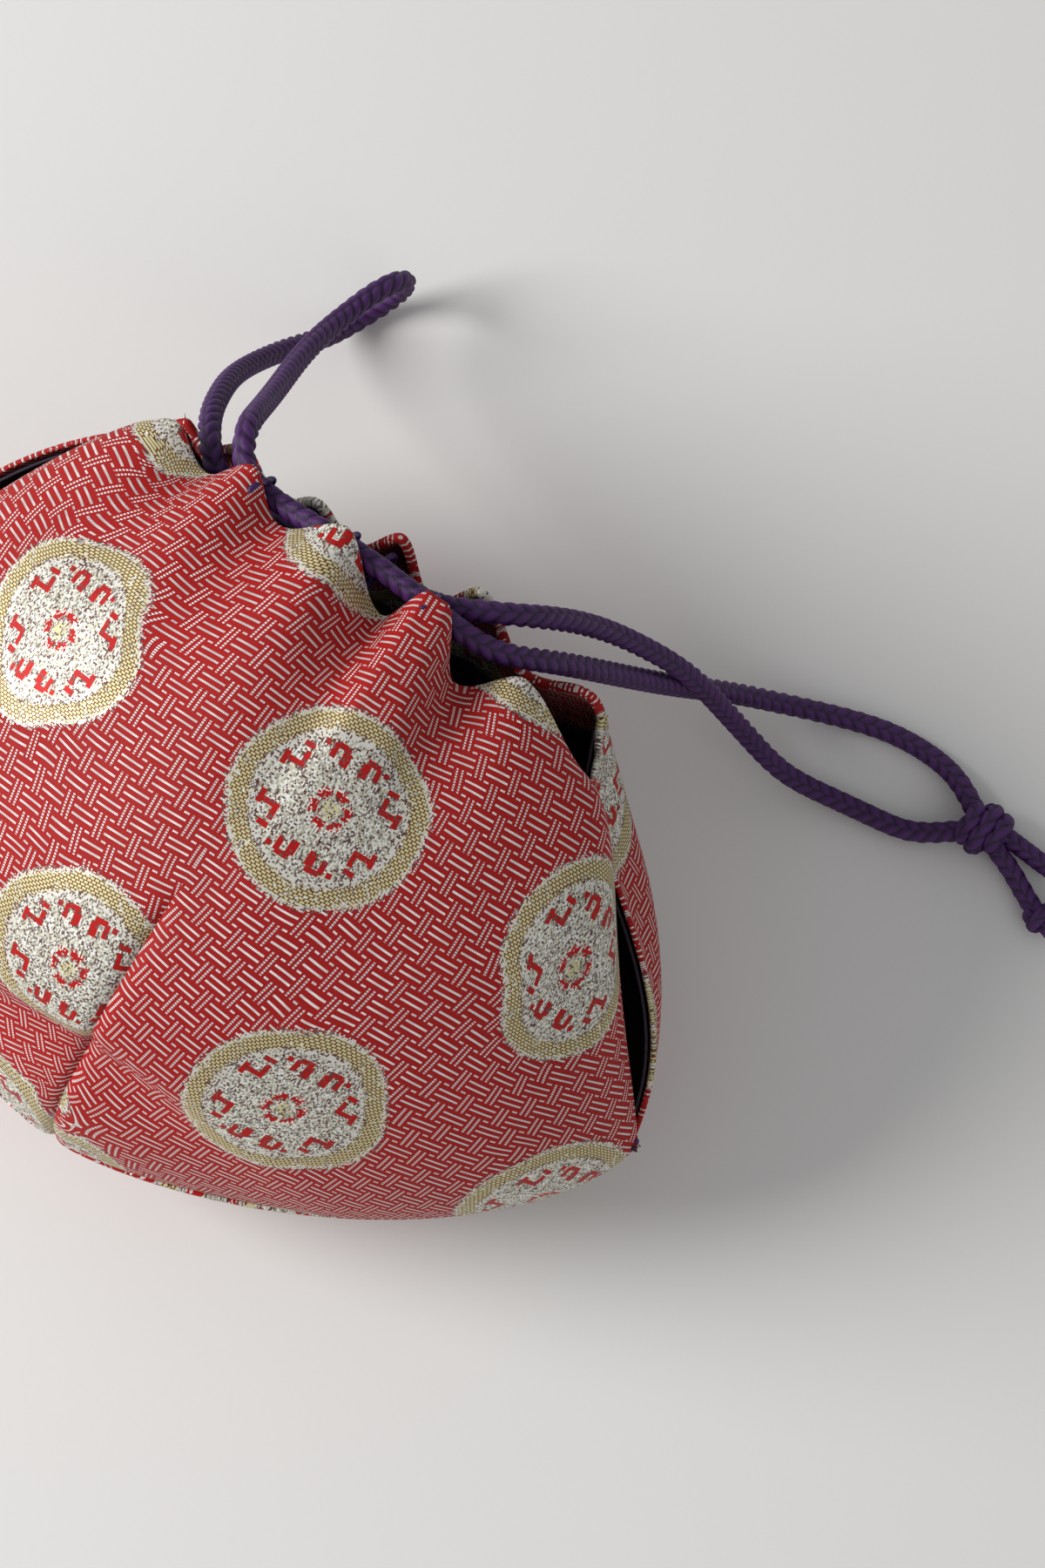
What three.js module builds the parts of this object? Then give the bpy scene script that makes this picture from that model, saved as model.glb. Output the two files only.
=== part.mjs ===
// Brocade drawstring pouch, lying on its back panel with the mouth drawn shut.
// Millimetres, +Z up. The base points to -Y, the mouth to +Y, and the front panel faces +Z.
import * as THREE from 'three';

// Body outline in plan
const EAR_X = 76.5;              // half the widest width, where the side slits end
const EAR_Y = -42;               // place of the slit ends along the body
const BASE_Y = -90.5;            // middle of the bottom seam
const SEAM_ROUNDNESS = 1.58;     // exponent of the bottom seam's outline; 2 is an ellipse
const LIP_SKEW = -0.07;          // slope of the drawn lips across the body

// Front panel
const FRONT_LIP_HALF_WIDTH = 43;
const FRONT_LIP_Y = 0;
const FRONT_LIP_Z = 79;
const FRONT_CORNER_Z = 62;       // height of the lip's two ends
const FRONT_FLANK = [64, -11];   // the side edges bulge towards this point
const APEX_Z = 82;               // highest place of the front panel
const CROWN_END = 0.2;           // share of the lip to base run that stays level
const FRONT_FULLNESS = 0.8;      // exponent across; smaller is squarer
const RIGHT_SLIT_INSET = 5.2;     // how far the front slit edges lie inside the back ones
const LEFT_SLIT_INSET = 1.5;
const SLIT_SPRING = 1.35;        // over 1 lifts the front slit edge off the back one

// Back panel
const BACK_LIP_HALF_WIDTH = 40;
const BACK_LIP_Y = 9;
const BACK_LIP_Z = 66;
const BACK_CORNER_Z = 57;
const BACK_RIGHT_FLANK = [78, -14];
const BACK_LEFT_FLANK = [72, -4];
const RIGHT_LEAN = [10, 5];      // how far the back slit edges lean in, near the mouth and low down
const LEFT_LEAN = [2.5, 3];
const LEAN_POWER = 70;           // only a narrow strip along the edge leans
const LEAN_FALL = 0.4;           // how soon the lean eases towards the slit ends; smaller is later
const END_WALL = 0.25;           // share of the run taken by the wall under the back lip
const BASE_WALL = 0.3;           // share of the run taken by the rounded base
const BACK_FULLNESS = 1.15;      // over 1 presses the underside flat on the table
const PRESS_BLEND = 0.09;        // softness of the edge of the flat underside

// Bottom seam heights
const EAR_Z = 27;
const POLE_Z = 26;               // seam height in the middle of the base

// Gathers at the lips: crests and dips in turn, as place along the lip, reach along Y and rise along Z
const FRONT_FOLDS = [
  [-43, 2.2, 0], [-38, 4.2, 2], [-29.6, 0.9, -2.2], [-23, 4.6, 3], [-15.4, 0.3, -3],
  [-5.3, 4.5, 3], [4.8, -0.6, -4.5], [11.8, 4.6, 3.6], [18.6, -2.6, -4.5], [28, 3.4, 2.6], [43, -1.6, 0],
];
const BACK_FOLDS = [
  [-40, -1, -1], [-35, -2.2, -3.5], [-28, -0.6, 2.5], [-20.7, -3.2, -4], [-13.4, -1.2, 3],
  [-6.6, -2.5, -4], [0.2, 1.8, 3.5], [7.5, -2, -5], [14.5, 2.6, 3.5], [25, -1.5, -5], [36, 1, 2.5],
  [40, 0, 0],
];
const FRONT_LOOPS_X = [-23, -5.3, 11.8];
const BACK_LOOPS_X = [-28, -13.4, 0.2];
const GATHER_LENGTH = 14;        // the folds fade over this distance from the lip

// Dart and base crease
const DART_TOP_Y = -47;
const DART_DEPTH = 0.9;
const DART_WIDTH = 1.6;
const CREASE_Y = -80;
const CREASE_DEPTH = 1.6;
const CREASE_WIDTH = 3.2;
const CREASE_HALF_LENGTH = 24;

// Cloth
const PANEL_THICKNESS = 0.9;
const LINING_THICKNESS = 0.6;
const LINING_GAP = 0.6;          // between a panel and its lining
const RIM_TURN = 40;             // how close to an edge the cloth's thickness turns level
const CLEARANCE = 0.3;           // gap between pieces that touch
const SEAM_GAP = 0.8;            // between the edges of the two panels at the bottom seam

// Drawstring and its thread loops
const CORD_DIAMETER = 3.5;
const CORD_SIDES = 8;
const CORD_STEPS = 80;
const TAIL_STEPS = 5;
const THREAD_DIAMETER = 1;
const LOOP_SLACK = 0.9;          // gap between the cord and a thread loop round it
const KNOT_SIZE = new THREE.Vector3(10, 9, 8);
const KNOT_CENTRE = new THREE.Vector3(94.6, 33.5, 4.3);
const END_KNOT_DIAMETER = 5.6;

// Bar tacks at the slit ends
const TACK_DIAMETER = 1.2;
const TACK_LENGTH = 3.4;

// Grid lines of the cloth, as shares of half a panel across and of its run from lip to seam
const DART_COLUMNS = [-0.035, -0.015, 0, 0.015, 0.035];
const EDGE_COLUMNS = [0.81, 0.86, 0.9, 0.94, 0.97, 1];
const CLOSEST_COLUMNS = 0.012;
const WIDEST_COLUMNS = 0.075;
const FRONT_ROWS = [0, 0.02, 0.05, 0.09, 0.15, 0.23, 0.32, 0.41, 0.5, 0.58, 0.64, 0.69, 0.74, 0.8, 0.87,
  0.94, 1];
const BACK_ROWS = [0, 0.006, 0.018, 0.035, 0.06, 0.09, 0.125, 0.165, 0.21, 0.27, 0.36, 0.46, 0.55, 0.63,
  0.7, 0.76, 0.82, 0.88, 0.94, 1];
const FRONT_LOOP_PLACE = 0.01;   // where the thread loops are sewn, in the same shares
const BACK_LOOP_PLACE = 0.009;

const QUARTER_TURN = Math.PI / 2;

// Colours and finish
const brocade = () => new THREE.MeshStandardMaterial({ color: 0x9a3a38, roughness: 0.62, metalness: 0.0 });
const lining = () => new THREE.MeshStandardMaterial({ color: 0x1a1220, roughness: 0.85, metalness: 0.0 });
const braid = () => new THREE.MeshStandardMaterial({ color: 0x3a1650, roughness: 0.7, metalness: 0.0 });
const thread = () => new THREE.MeshStandardMaterial({ color: 0x30123f, roughness: 0.65, metalness: 0.0 });

const mix = (from, to, share) => from + (to - from) * share;
const clampTo = (value, low, high) => Math.min(high, Math.max(low, value));

// A rounded quarter: 0 at share 0 with an upright start, 1 at share 1 with a level end.
const roundedQuarter = (share) => Math.sqrt(Math.max(0, 1 - (1 - clampTo(share, 0, 1)) ** 2));

// Reach and rise of the gathers at a place along a lip, half a cosine from each crest to the next dip.
function foldAt(x, folds) {
  let i = 0;
  while (i < folds.length - 2 && x > folds[i + 1][0]) i += 1;
  const [from, to] = [folds[i], folds[i + 1]];
  const phase = clampTo((x - from[0]) / (to[0] - from[0]), 0, 1);
  const share = 0.5 - 0.5 * Math.cos(Math.PI * phase);
  return { reach: mix(from[1], to[1], share), rise: mix(from[2], to[2], share) };
}

// Columns across a panel: two to each half fold, with the dart's and the side edges' own.
function columnsOf(lip) {
  const { folds, halfWidth } = lip;
  const onFolds = folds.slice(1).flatMap(([x], i) => [(folds[i][0] + x) / 2, x]);
  const innermost = halfWidth * Math.sin((EDGE_COLUMNS[0] - 4 * CLOSEST_COLUMNS) * QUARTER_TURN);
  const inner = onFolds.filter((x) => Math.abs(x) < innermost).map((x) => Math.asin(x / halfWidth) / QUARTER_TURN);
  const clear = inner.filter((a) => DART_COLUMNS.every((dart) => Math.abs(a - dart) > CLOSEST_COLUMNS));
  const edges = EDGE_COLUMNS.flatMap((a) => [-a, a]);
  const columns = [...clear, ...DART_COLUMNS, ...edges].sort((a, b) => a - b);
  return columns.flatMap((a, i) => {
    const gap = i > 0 ? a - columns[i - 1] : 0;
    return gap > WIDEST_COLUMNS ? [a - gap / 2, a] : [a];
  });
}

// Place in plan: each column is a quadratic curve from the lip to the bottom seam.
function planPoint(a, run, lip) {
  const turn = a * QUARTER_TURN;
  const side = Math.sin(turn);
  const power = 2 / SEAM_ROUNDNESS;
  const seamX = EAR_X * Math.sign(side) * Math.abs(side) ** power;
  const seamY = EAR_Y + (BASE_Y - EAR_Y) * Math.abs(Math.cos(turn)) ** power;
  const lipX = lip.halfWidth * side;
  const lipY = lip.y + LIP_SKEW * lipX;
  const [flankX, flankY] = a > 0 ? lip.rightFlank : lip.leftFlank;
  const bendX = flankX * side;
  const bendY = mix((lipY + seamY) / 2, flankY, side * side);
  const w0 = (1 - run) ** 2;
  const w1 = 2 * run * (1 - run);
  const w2 = run * run;
  return { x: w0 * lipX + w1 * bendX + w2 * seamX, y: w0 * lipY + w1 * bendY + w2 * seamY, lipX };
}

// The folds that start at the lip and fade down the panel.
function gather(point, lipX, run, lip, strength) {
  const fade = strength * Math.exp((run * BASE_Y) / GATHER_LENGTH);
  const { reach, rise } = foldAt(lipX, lip.folds);
  point.y += reach * fade;
  point.z += rise * fade;
  return point;
}

const FRONT_LIP = {
  halfWidth: FRONT_LIP_HALF_WIDTH,
  y: FRONT_LIP_Y,
  rightFlank: FRONT_FLANK,
  leftFlank: FRONT_FLANK,
  folds: FRONT_FOLDS,
};
const BACK_LIP = {
  halfWidth: BACK_LIP_HALF_WIDTH,
  y: BACK_LIP_Y,
  rightFlank: BACK_RIGHT_FLANK,
  leftFlank: BACK_LEFT_FLANK,
  folds: BACK_FOLDS,
};

// A point moved in from the nearer slit by a distance.
function drawnAside(point, a, distance) {
  point.x -= Math.sign(a) * distance * 0.8;
  point.y -= distance * 0.6;
  return point;
}

// Outer face of the front panel, before its dart and crease: a crowned dome over its rim.
function frontForm(a, t) {
  const run = Math.sin(t * QUARTER_TURN) ** 1.15;
  const side = Math.abs(Math.sin(a * QUARTER_TURN));
  const { x, y, lipX } = planPoint(a, run, FRONT_LIP);
  const rim = mix(POLE_Z, mix(FRONT_CORNER_Z, EAR_Z, run ** SLIT_SPRING), side * side);
  const sag = clampTo((CROWN_END - run) / CROWN_END, 0, 1) ** 2;
  const crown = mix(APEX_Z, FRONT_LIP_Z, sag);
  const across = Math.cos(a * QUARTER_TURN) ** FRONT_FULLNESS;
  const along = roundedQuarter((1 - run) / (1 - CROWN_END));
  const inset = (a > 0 ? RIGHT_SLIT_INSET : LEFT_SLIT_INSET) * side ** 8 * Math.sin(Math.PI * run ** 1.2);
  const point = new THREE.Vector3(x, y, mix(rim, crown, across * along));
  return gather(drawnAside(point, a, inset), lipX, run, FRONT_LIP, 1);
}

// Outer face of the back panel, before its dart: a dish pressed flat on the table.
function backForm(a, t) {
  const run = 0.5 - 0.5 * Math.cos(Math.PI * t);
  const { x, y, lipX } = planPoint(a, run, BACK_LIP);
  const side = Math.abs(Math.sin(a * QUARTER_TURN));
  const middle = mix(BACK_LIP_Z, POLE_Z, run);
  const rim = mix(middle, mix(BACK_CORNER_Z, EAR_Z, run), side * side) - SEAM_GAP * run;
  const across = Math.sqrt(1 - side ** 2.4);
  const along = roundedQuarter(run / END_WALL) * roundedQuarter((1 - run) / BASE_WALL);
  const left = 1 - BACK_FULLNESS * across * along;
  const soft = (left + PRESS_BLEND) ** 2 / (4 * PRESS_BLEND);
  const share = left > PRESS_BLEND ? left : left < -PRESS_BLEND ? 0 : soft;
  const [high, low] = a > 0 ? RIGHT_LEAN : LEFT_LEAN;
  const most = mix(high, low, THREE.MathUtils.smoothstep(run, 0.25, 0.95));
  const lean = most * side ** LEAN_POWER * clampTo(0.1 + run / 0.18, 0, 1) * (1 - run) ** LEAN_FALL;
  const point = drawnAside(new THREE.Vector3(x, y, rim * share), a, lean);
  return gather(point, lipX, run, BACK_LIP, share * share);
}

// Unit normal of a form, towards the outside. It turns level at the seam and the slits, so that
// the edges of the two panels meet squarely.
function outward(form, facing, a, t) {
  const step = 1e-3;
  const ca = clampTo(a, -0.995, 0.995);
  const ct = clampTo(t, 0.004, 0.996);
  const da = form(ca + step, ct).sub(form(ca - step, ct));
  const dt = form(ca, ct - step).sub(form(ca, ct + step));
  const normal = da.cross(dt).normalize().multiplyScalar(facing);
  normal.z *= 1 - Math.max(Math.abs(a), t) ** RIM_TURN;
  return normal.normalize();
}

// How far the dart's seam and the base crease draw the cloth in.
function drawnIn(point, hasCrease) {
  const dartStart = clampTo((DART_TOP_Y - point.y) / 10, 0, 1);
  const dart = DART_DEPTH * dartStart * Math.exp(-((point.x / DART_WIDTH) ** 2));
  if (!hasCrease) return dart;
  const fade = Math.exp(-((point.x / CREASE_HALF_LENGTH) ** 2));
  return dart + CREASE_DEPTH * fade * Math.exp(-(((point.y - CREASE_Y) / CREASE_WIDTH) ** 2));
}

const FRONT = { form: frontForm, facing: 1, hasCrease: true, lip: FRONT_LIP, loopPlace: FRONT_LOOP_PLACE };
const BACK = { form: backForm, facing: -1, hasCrease: false, lip: BACK_LIP, loopPlace: BACK_LOOP_PLACE };

// A place on a panel, a depth below its outer face.
function clothPoint(panel, a, t, depth) {
  const point = panel.form(a, t);
  const normal = outward(panel.form, panel.facing, a, t);
  return point.addScaledVector(normal, -depth - drawnIn(point, panel.hasCrease));
}

// A sheet of cloth: a flat slab with the given grid lines, carried onto the panel's form.
function clothGeometry(panel, columns, rows, depth, thickness) {
  const across = columns.length - 1;
  const down = rows.length - 1;
  const slab = new THREE.BoxGeometry(2, 2, 2, across, down, 1);
  const position = slab.getAttribute('position');
  for (let i = 0; i < position.count; i += 1) {
    const column = Math.round(((panel.facing * position.getX(i) + 1) / 2) * across);
    const row = Math.round(((1 - position.getY(i)) / 2) * down);
    const below = position.getZ(i) > 0 ? depth : depth + thickness;
    const point = clothPoint(panel, columns[column], rows[row], below);
    position.setXYZ(i, point.x, point.y, point.z);
  }
  slab.computeVertexNormals();
  return slab;
}

// A round cord along a curve.
function cordGeometry(curve, steps) {
  const rim = new THREE.EllipseCurve(0, 0, CORD_DIAMETER / 2, CORD_DIAMETER / 2);
  const section = new THREE.Shape(rim.getPoints(CORD_SIDES).slice(0, CORD_SIDES));
  return new THREE.ExtrudeGeometry(section, { steps, bevelEnabled: false, extrudePath: curve });
}

const curveThrough = (points) => new THREE.CatmullRomCurve3(points, false, 'centripetal');
const places = (rows) => rows.map(([x, y, z]) => new THREE.Vector3(x, y, z));

const group = new THREE.Group();
group.name = 'drawstring_pouch';

function add(name, geometry, material) {
  const mesh = new THREE.Mesh(geometry, material);
  mesh.name = name;
  group.add(mesh);
  return mesh;
}

const frontColumns = columnsOf(FRONT_LIP);
const backColumns = columnsOf(BACK_LIP);
add('front_panel', clothGeometry(FRONT, frontColumns, FRONT_ROWS, 0, PANEL_THICKNESS), brocade());
add('back_panel', clothGeometry(BACK, backColumns, BACK_ROWS, 0, PANEL_THICKNESS), brocade());

// The linings stop five grid lines short of the slits and one short of the lips.
const LINING_DEPTH = PANEL_THICKNESS + LINING_GAP;
const liningOf = (panel, columns, rows) => clothGeometry(
  panel,
  columns.slice(5, -5),
  rows.slice(1),
  LINING_DEPTH,
  LINING_THICKNESS,
);
add('front_lining', liningOf(FRONT, frontColumns, FRONT_ROWS), lining());
add('back_lining', liningOf(BACK, backColumns, BACK_ROWS), lining());

// Bar tacks stand across the ends of the slits.
for (const [name, side] of [['right_slit_tack', 1], ['left_slit_tack', -1]]) {
  const bar = new THREE.CapsuleGeometry(TACK_DIAMETER / 2, TACK_LENGTH - TACK_DIAMETER, 3, 8);
  bar.rotateX(QUARTER_TURN);
  bar.translate(side * (EAR_X + CLEARANCE + TACK_DIAMETER / 2), EAR_Y, EAR_Z);
  add(name, bar, thread());
}

// Thread loops are sewn just inside the crests of the folds and carry the drawstring.
const LOOP_RADIUS = (CORD_DIAMETER + THREAD_DIAMETER) / 2 + LOOP_SLACK;
const LOOP_DEPTH = LINING_DEPTH + LINING_THICKNESS + CLEARANCE + LOOP_RADIUS + THREAD_DIAMETER / 2;

function loopCentres(panel, crests) {
  return crests.map((x) => {
    const a = Math.asin(x / panel.lip.halfWidth) / QUARTER_TURN;
    return clothPoint(panel, a, panel.loopPlace, LOOP_DEPTH);
  });
}

const frontLoops = loopCentres(FRONT, FRONT_LOOPS_X);
const backLoops = loopCentres(BACK, BACK_LOOPS_X);

// The drawstring's free runs, in the order from the knot through the pouch and back to the knot.
const KNOT_TO_FRONT_LIP = places([
  [86.4, 38.6, 2.2], [80.4, 39.6, 2.05], [73.3, 39.1, 2.05], [64.8, 36.6, 2.8], [56.8, 32.9, 6.4],
  [50, 28.5, 14], [44.1, 22.9, 25.8], [39.8, 18.3, 37], [35.6, 13.9, 48.5], [31.6, 10.1, 58],
  [26.9, 6, 66.6], [20.6, 2.6, 72],
]);
const LEFT_LOOP = places([
  [-25.6, 6.9, 70.8], [-27.9, 10.8, 70], [-29.4, 14.8, 64.6], [-30.9, 18.8, 56.3], [-33, 25, 45],
  [-35.1, 32.6, 33.6], [-36, 40.4, 24.5], [-35.4, 47.2, 19.4], [-34.2, 52, 17.6], [-32.8, 55.8, 15.3],
  [-32.5, 57.8, 10.2], [-33.8, 56.4, 4.9], [-36, 52.6, 2.5], [-38, 47.8, 3.4], [-39.5, 43.2, 7.2],
  [-41.3, 37.6, 14], [-42.1, 30.1, 26], [-40.9, 22.8, 40], [-38.8, 17.3, 50], [-36.4, 12.4, 57.3],
  [-33.2, 8, 61.4],
]);
const BACK_LIP_TO_KNOT = places([
  [8.4, 4.2, 68.9], [15.4, 6.2, 71.2], [21.4, 9.8, 69.2], [26.4, 14.3, 61.5], [31.7, 18.5, 51],
  [38, 21.5, 41], [43.7, 23.3, 32], [49.5, 23.9, 22], [56, 23.8, 12.5], [63.5, 23.6, 5.6],
  [71.6, 24.9, 2.5], [79.2, 26, 2.05], [85.4, 27.4, 2.2],
]);

// Where a cord that comes from a place meets the knot.
function knotSeat(from) {
  const towards = from.clone().sub(KNOT_CENTRE).normalize();
  const reach = 0.5 / towards.clone().divide(KNOT_SIZE).length() + CLEARANCE;
  return KNOT_CENTRE.clone().addScaledVector(towards, reach);
}

const drawstringPoints = [
  knotSeat(KNOT_TO_FRONT_LIP.at(0)),
  ...KNOT_TO_FRONT_LIP,
  ...frontLoops.toReversed(),
  ...LEFT_LOOP,
  ...backLoops,
  ...BACK_LIP_TO_KNOT,
  knotSeat(BACK_LIP_TO_KNOT.at(-1)),
];
const drawstringRun = curveThrough(drawstringPoints);
add('drawstring', cordGeometry(drawstringRun, CORD_STEPS), braid());

function addLoops(name, centres) {
  centres.forEach((centre, i) => {
    const ring = new THREE.TorusGeometry(LOOP_RADIUS, THREAD_DIAMETER / 2, 6, 14);
    const along = drawstringRun.getTangent(drawstringPoints.indexOf(centre) / (drawstringPoints.length - 1));
    ring.applyQuaternion(new THREE.Quaternion().setFromUnitVectors(new THREE.Vector3(0, 0, 1), along));
    ring.translate(centre.x, centre.y, centre.z);
    add(`${name}_${i + 1}`, ring, thread());
  });
}

addLoops('front_loop', frontLoops);
addLoops('back_loop', backLoops);

const knot = new THREE.SphereGeometry(0.5, 16, 10);
knot.scale(KNOT_SIZE.x, KNOT_SIZE.y, KNOT_SIZE.z);
knot.translate(KNOT_CENTRE.x, KNOT_CENTRE.y, KNOT_CENTRE.z);
add('drawstring_knot', knot, braid());

// The two tails past the knot, each stopped by a small knot of its own.
const TAILS = [
  places([[101.4, 29.2, 2.2], [107, 27.4, 2.05]]),
  places([[102.4, 36.1, 2.2], [111.6, 34.4, 2.05]]),
];
TAILS.forEach((points, i) => {
  const run = curveThrough([knotSeat(points[0]), ...points]);
  add(`drawstring_tail_${i + 1}`, cordGeometry(run, TAIL_STEPS), braid());
  const [before, last] = points.slice(-2);
  const onward = last.clone().sub(before).setZ(0).normalize();
  const reach = END_KNOT_DIAMETER / 2 + CLEARANCE;
  const end = new THREE.SphereGeometry(END_KNOT_DIAMETER / 2, 12, 8);
  end.translate(last.x + onward.x * reach, last.y + onward.y * reach, END_KNOT_DIAMETER / 2 + CLEARANCE);
  add(`drawstring_end_${i + 1}`, end, braid());
});

// The origin is the bottom centre of the pouch itself, without its cord.
const body = new THREE.Box3();
for (const mesh of group.children) {
  if (!mesh.name.startsWith('drawstring')) body.expandByObject(mesh);
}
const centre = body.getCenter(new THREE.Vector3());
for (const mesh of group.children) mesh.geometry.translate(-centre.x, -centre.y, -body.min.z);

export default group;
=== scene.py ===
"""Brocade drawstring pouch with a braided cord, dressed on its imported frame.

Sizes in the classes are millimetres in the maker's own axes: x runs along the mouth, y from the
base to the mouth and z up from the table. Placing turns them into metres in the frame.
"""

import logging
import math
from dataclasses import dataclass
from enum import Enum
from functools import reduce

import bmesh
import bpy
import numpy as np
from mathutils import Matrix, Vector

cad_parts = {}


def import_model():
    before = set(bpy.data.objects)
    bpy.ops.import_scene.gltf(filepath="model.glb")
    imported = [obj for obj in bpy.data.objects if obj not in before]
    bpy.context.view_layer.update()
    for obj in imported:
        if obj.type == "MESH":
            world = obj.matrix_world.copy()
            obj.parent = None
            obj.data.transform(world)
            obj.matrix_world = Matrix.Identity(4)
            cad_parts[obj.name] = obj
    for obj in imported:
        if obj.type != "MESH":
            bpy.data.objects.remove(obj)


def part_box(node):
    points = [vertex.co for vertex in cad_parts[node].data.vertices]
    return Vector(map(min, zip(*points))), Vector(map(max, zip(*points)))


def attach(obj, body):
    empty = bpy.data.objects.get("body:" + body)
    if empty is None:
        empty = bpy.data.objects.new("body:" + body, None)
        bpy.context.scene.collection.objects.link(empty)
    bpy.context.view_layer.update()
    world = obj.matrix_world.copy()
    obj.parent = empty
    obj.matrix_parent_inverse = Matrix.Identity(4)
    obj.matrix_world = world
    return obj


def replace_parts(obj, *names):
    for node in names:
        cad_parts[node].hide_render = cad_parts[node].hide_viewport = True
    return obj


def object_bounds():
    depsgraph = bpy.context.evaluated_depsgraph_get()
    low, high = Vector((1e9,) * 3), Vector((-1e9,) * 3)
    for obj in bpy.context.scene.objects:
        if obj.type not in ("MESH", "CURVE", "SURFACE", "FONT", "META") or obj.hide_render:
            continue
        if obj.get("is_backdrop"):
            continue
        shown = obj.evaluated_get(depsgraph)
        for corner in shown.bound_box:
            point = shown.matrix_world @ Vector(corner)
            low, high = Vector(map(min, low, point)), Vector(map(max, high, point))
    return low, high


LOG = logging.getLogger("pouch")
MM = 0.001
WELD = 2e-6
CLOTH_MAP = "cloth"
UPRIGHT = np.array([0.0, 0.0, 1.0])
CORD_SEGMENTS = 32
KNOT_SEGMENTS = 24
Array = np.ndarray
Pair = tuple[float, float]
Triple = tuple[float, float, float]
Colour = Triple
Paint = Colour | bpy.types.NodeSocket


def linear(red: int, green: int, blue: int) -> Colour:
    """Gives the linear colour of an sRGB colour.

    Args:
        red: red part from 0 to 255.
        green: green part from 0 to 255.
        blue: blue part from 0 to 255.

    Returns:
        The three linear parts from 0 to 1.
    """
    srgb = np.array([red, green, blue]) / 255.0
    light = np.where(srgb <= 0.04045, srgb / 12.92, ((srgb + 0.055) / 1.055) ** 2.4)
    return tuple(float(part) for part in light)


def blend(first: Array | float, second: Array | float, share: Array | float) -> Array | float:
    """Goes from the first value to the second by a share from 0 to 1."""
    return first + (second - first) * share


def quarter(share: Array) -> Array:
    """Height of a quarter circle that climbs from 0 to 1 as the share does, flat at its top."""
    return np.sqrt(np.maximum(0.0, 1.0 - (1.0 - np.clip(share, 0.0, 1.0)) ** 2))


def graded(count: int, closeness: float) -> Array:
    """Stations from 0 to 1 that crowd towards both ends.

    The station is s minus closeness times sin(2 pi s) over 2 pi, so its step falls at both ends.

    Args:
        count: number of stations.
        closeness: 0 for even steps, towards 1 for very short steps at the ends.

    Returns:
        The stations, in rising order.
    """
    even = np.linspace(0.0, 1.0, count)
    return even - closeness * np.sin(2 * math.pi * even) / (2 * math.pi)


def mirrored(half: Array) -> Array:
    """Stations from -1 to 1 made of a half from 0 to 1 and its mirror image."""
    return np.concatenate([-half[:0:-1], half])


def unit(vectors: Array) -> Array:
    """Vectors of length one along the last axis."""
    return vectors / np.maximum(np.linalg.norm(vectors, axis=-1, keepdims=True), 1e-12)


def run_length(points: Array, axis: int = 0, power: float = 1.0) -> Array:
    """Length of the way along one axis of a line or grid of points, 0 at its first point.

    Args:
        points: the points, with coordinates on the last axis.
        axis: the axis to go along.
        power: power of each step's length that is summed.

    Returns:
        The sum of the steps up to each point.
    """
    steps = np.linalg.norm(np.diff(points, axis=axis), axis=-1) ** power
    return np.insert(np.cumsum(steps, axis=axis), 0, 0.0, axis=axis)


def aimed(right: Array, up: Array, place: Array) -> Matrix:
    """Matrix of a camera or a lamp, which looks back along its third axis.

    Args:
        right: unit vector to its right.
        up: unit vector to its top.
        place: its place in metres.

    Returns:
        The matrix in the frame.
    """
    axes = np.eye(4)
    axes[:3] = np.stack([right, up, np.cross(right, up), place], axis=1)
    return Matrix(axes.tolist())


def spline_weights(knots: Array, stations: Array) -> Array:
    """Weights that carry values at knots to a natural cubic spline through them.

    The second derivatives solve the usual tridiagonal system, and each station then blends the
    values and second derivatives at the two knots on either side of it.

    Args:
        knots: rising parameters of the known values.
        stations: parameters at which the curve is wanted.

    Returns:
        A matrix with a row for each station and a column for each knot.
    """
    count = len(knots)
    step = np.diff(knots)
    inner = np.arange(1, count - 1)
    system = np.eye(count)
    system[inner, inner - 1] = step[:-1]
    system[inner, inner] = 2 * (step[:-1] + step[1:])
    system[inner, inner + 1] = step[1:]
    right = np.zeros((count, count))
    right[inner, inner - 1] = 6 / step[:-1]
    right[inner, inner] = -6 * (1 / step[:-1] + 1 / step[1:])
    right[inner, inner + 1] = 6 / step[1:]
    bending = np.linalg.solve(system, right)
    cell = np.clip(np.searchsorted(knots, stations) - 1, 0, count - 2)
    before = (knots[cell + 1] - stations) / step[cell]
    after = 1.0 - before
    straight = before[:, None] * np.eye(count)[cell] + after[:, None] * np.eye(count)[cell + 1]
    scale = (step[cell] ** 2 / 6)[:, None]
    return (
        straight
        + scale * (before**3 - before)[:, None] * bending[cell]
        + scale * (after**3 - after)[:, None] * bending[cell + 1]
    )


@dataclass(frozen=True)
class Placing:
    """Shift in millimetres from the maker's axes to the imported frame."""

    shift: Triple

    @classmethod
    def from_tacks(cls, ear_y: float, ear_z: float) -> "Placing":
        """Finds the shift from the two bar tacks, which sit at the ears of the seam.

        Args:
            ear_y: the ears' y in the maker's axes.
            ear_z: the ears' height in the maker's axes.

        Returns:
            The placing of this pouch in the frame.
        """
        corners = [corner for side in ("right", "left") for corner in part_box(f"{side}_slit_tack")]
        middle = np.mean([tuple(corner) for corner in corners], axis=0) / MM
        return cls(tuple(middle - np.array([0.0, ear_y, ear_z])))

    def metres(self, points: Array) -> Array:
        """Points of the maker's axes as metres in the frame."""
        return (np.asarray(points, float) + np.array(self.shift)) * MM

    def centre(self, node: str) -> Array:
        """Middle of a solid's box in the maker's axes."""
        low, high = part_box(node)
        return (np.array(low) + np.array(high)) / 2 / MM - np.array(self.shift)


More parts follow.
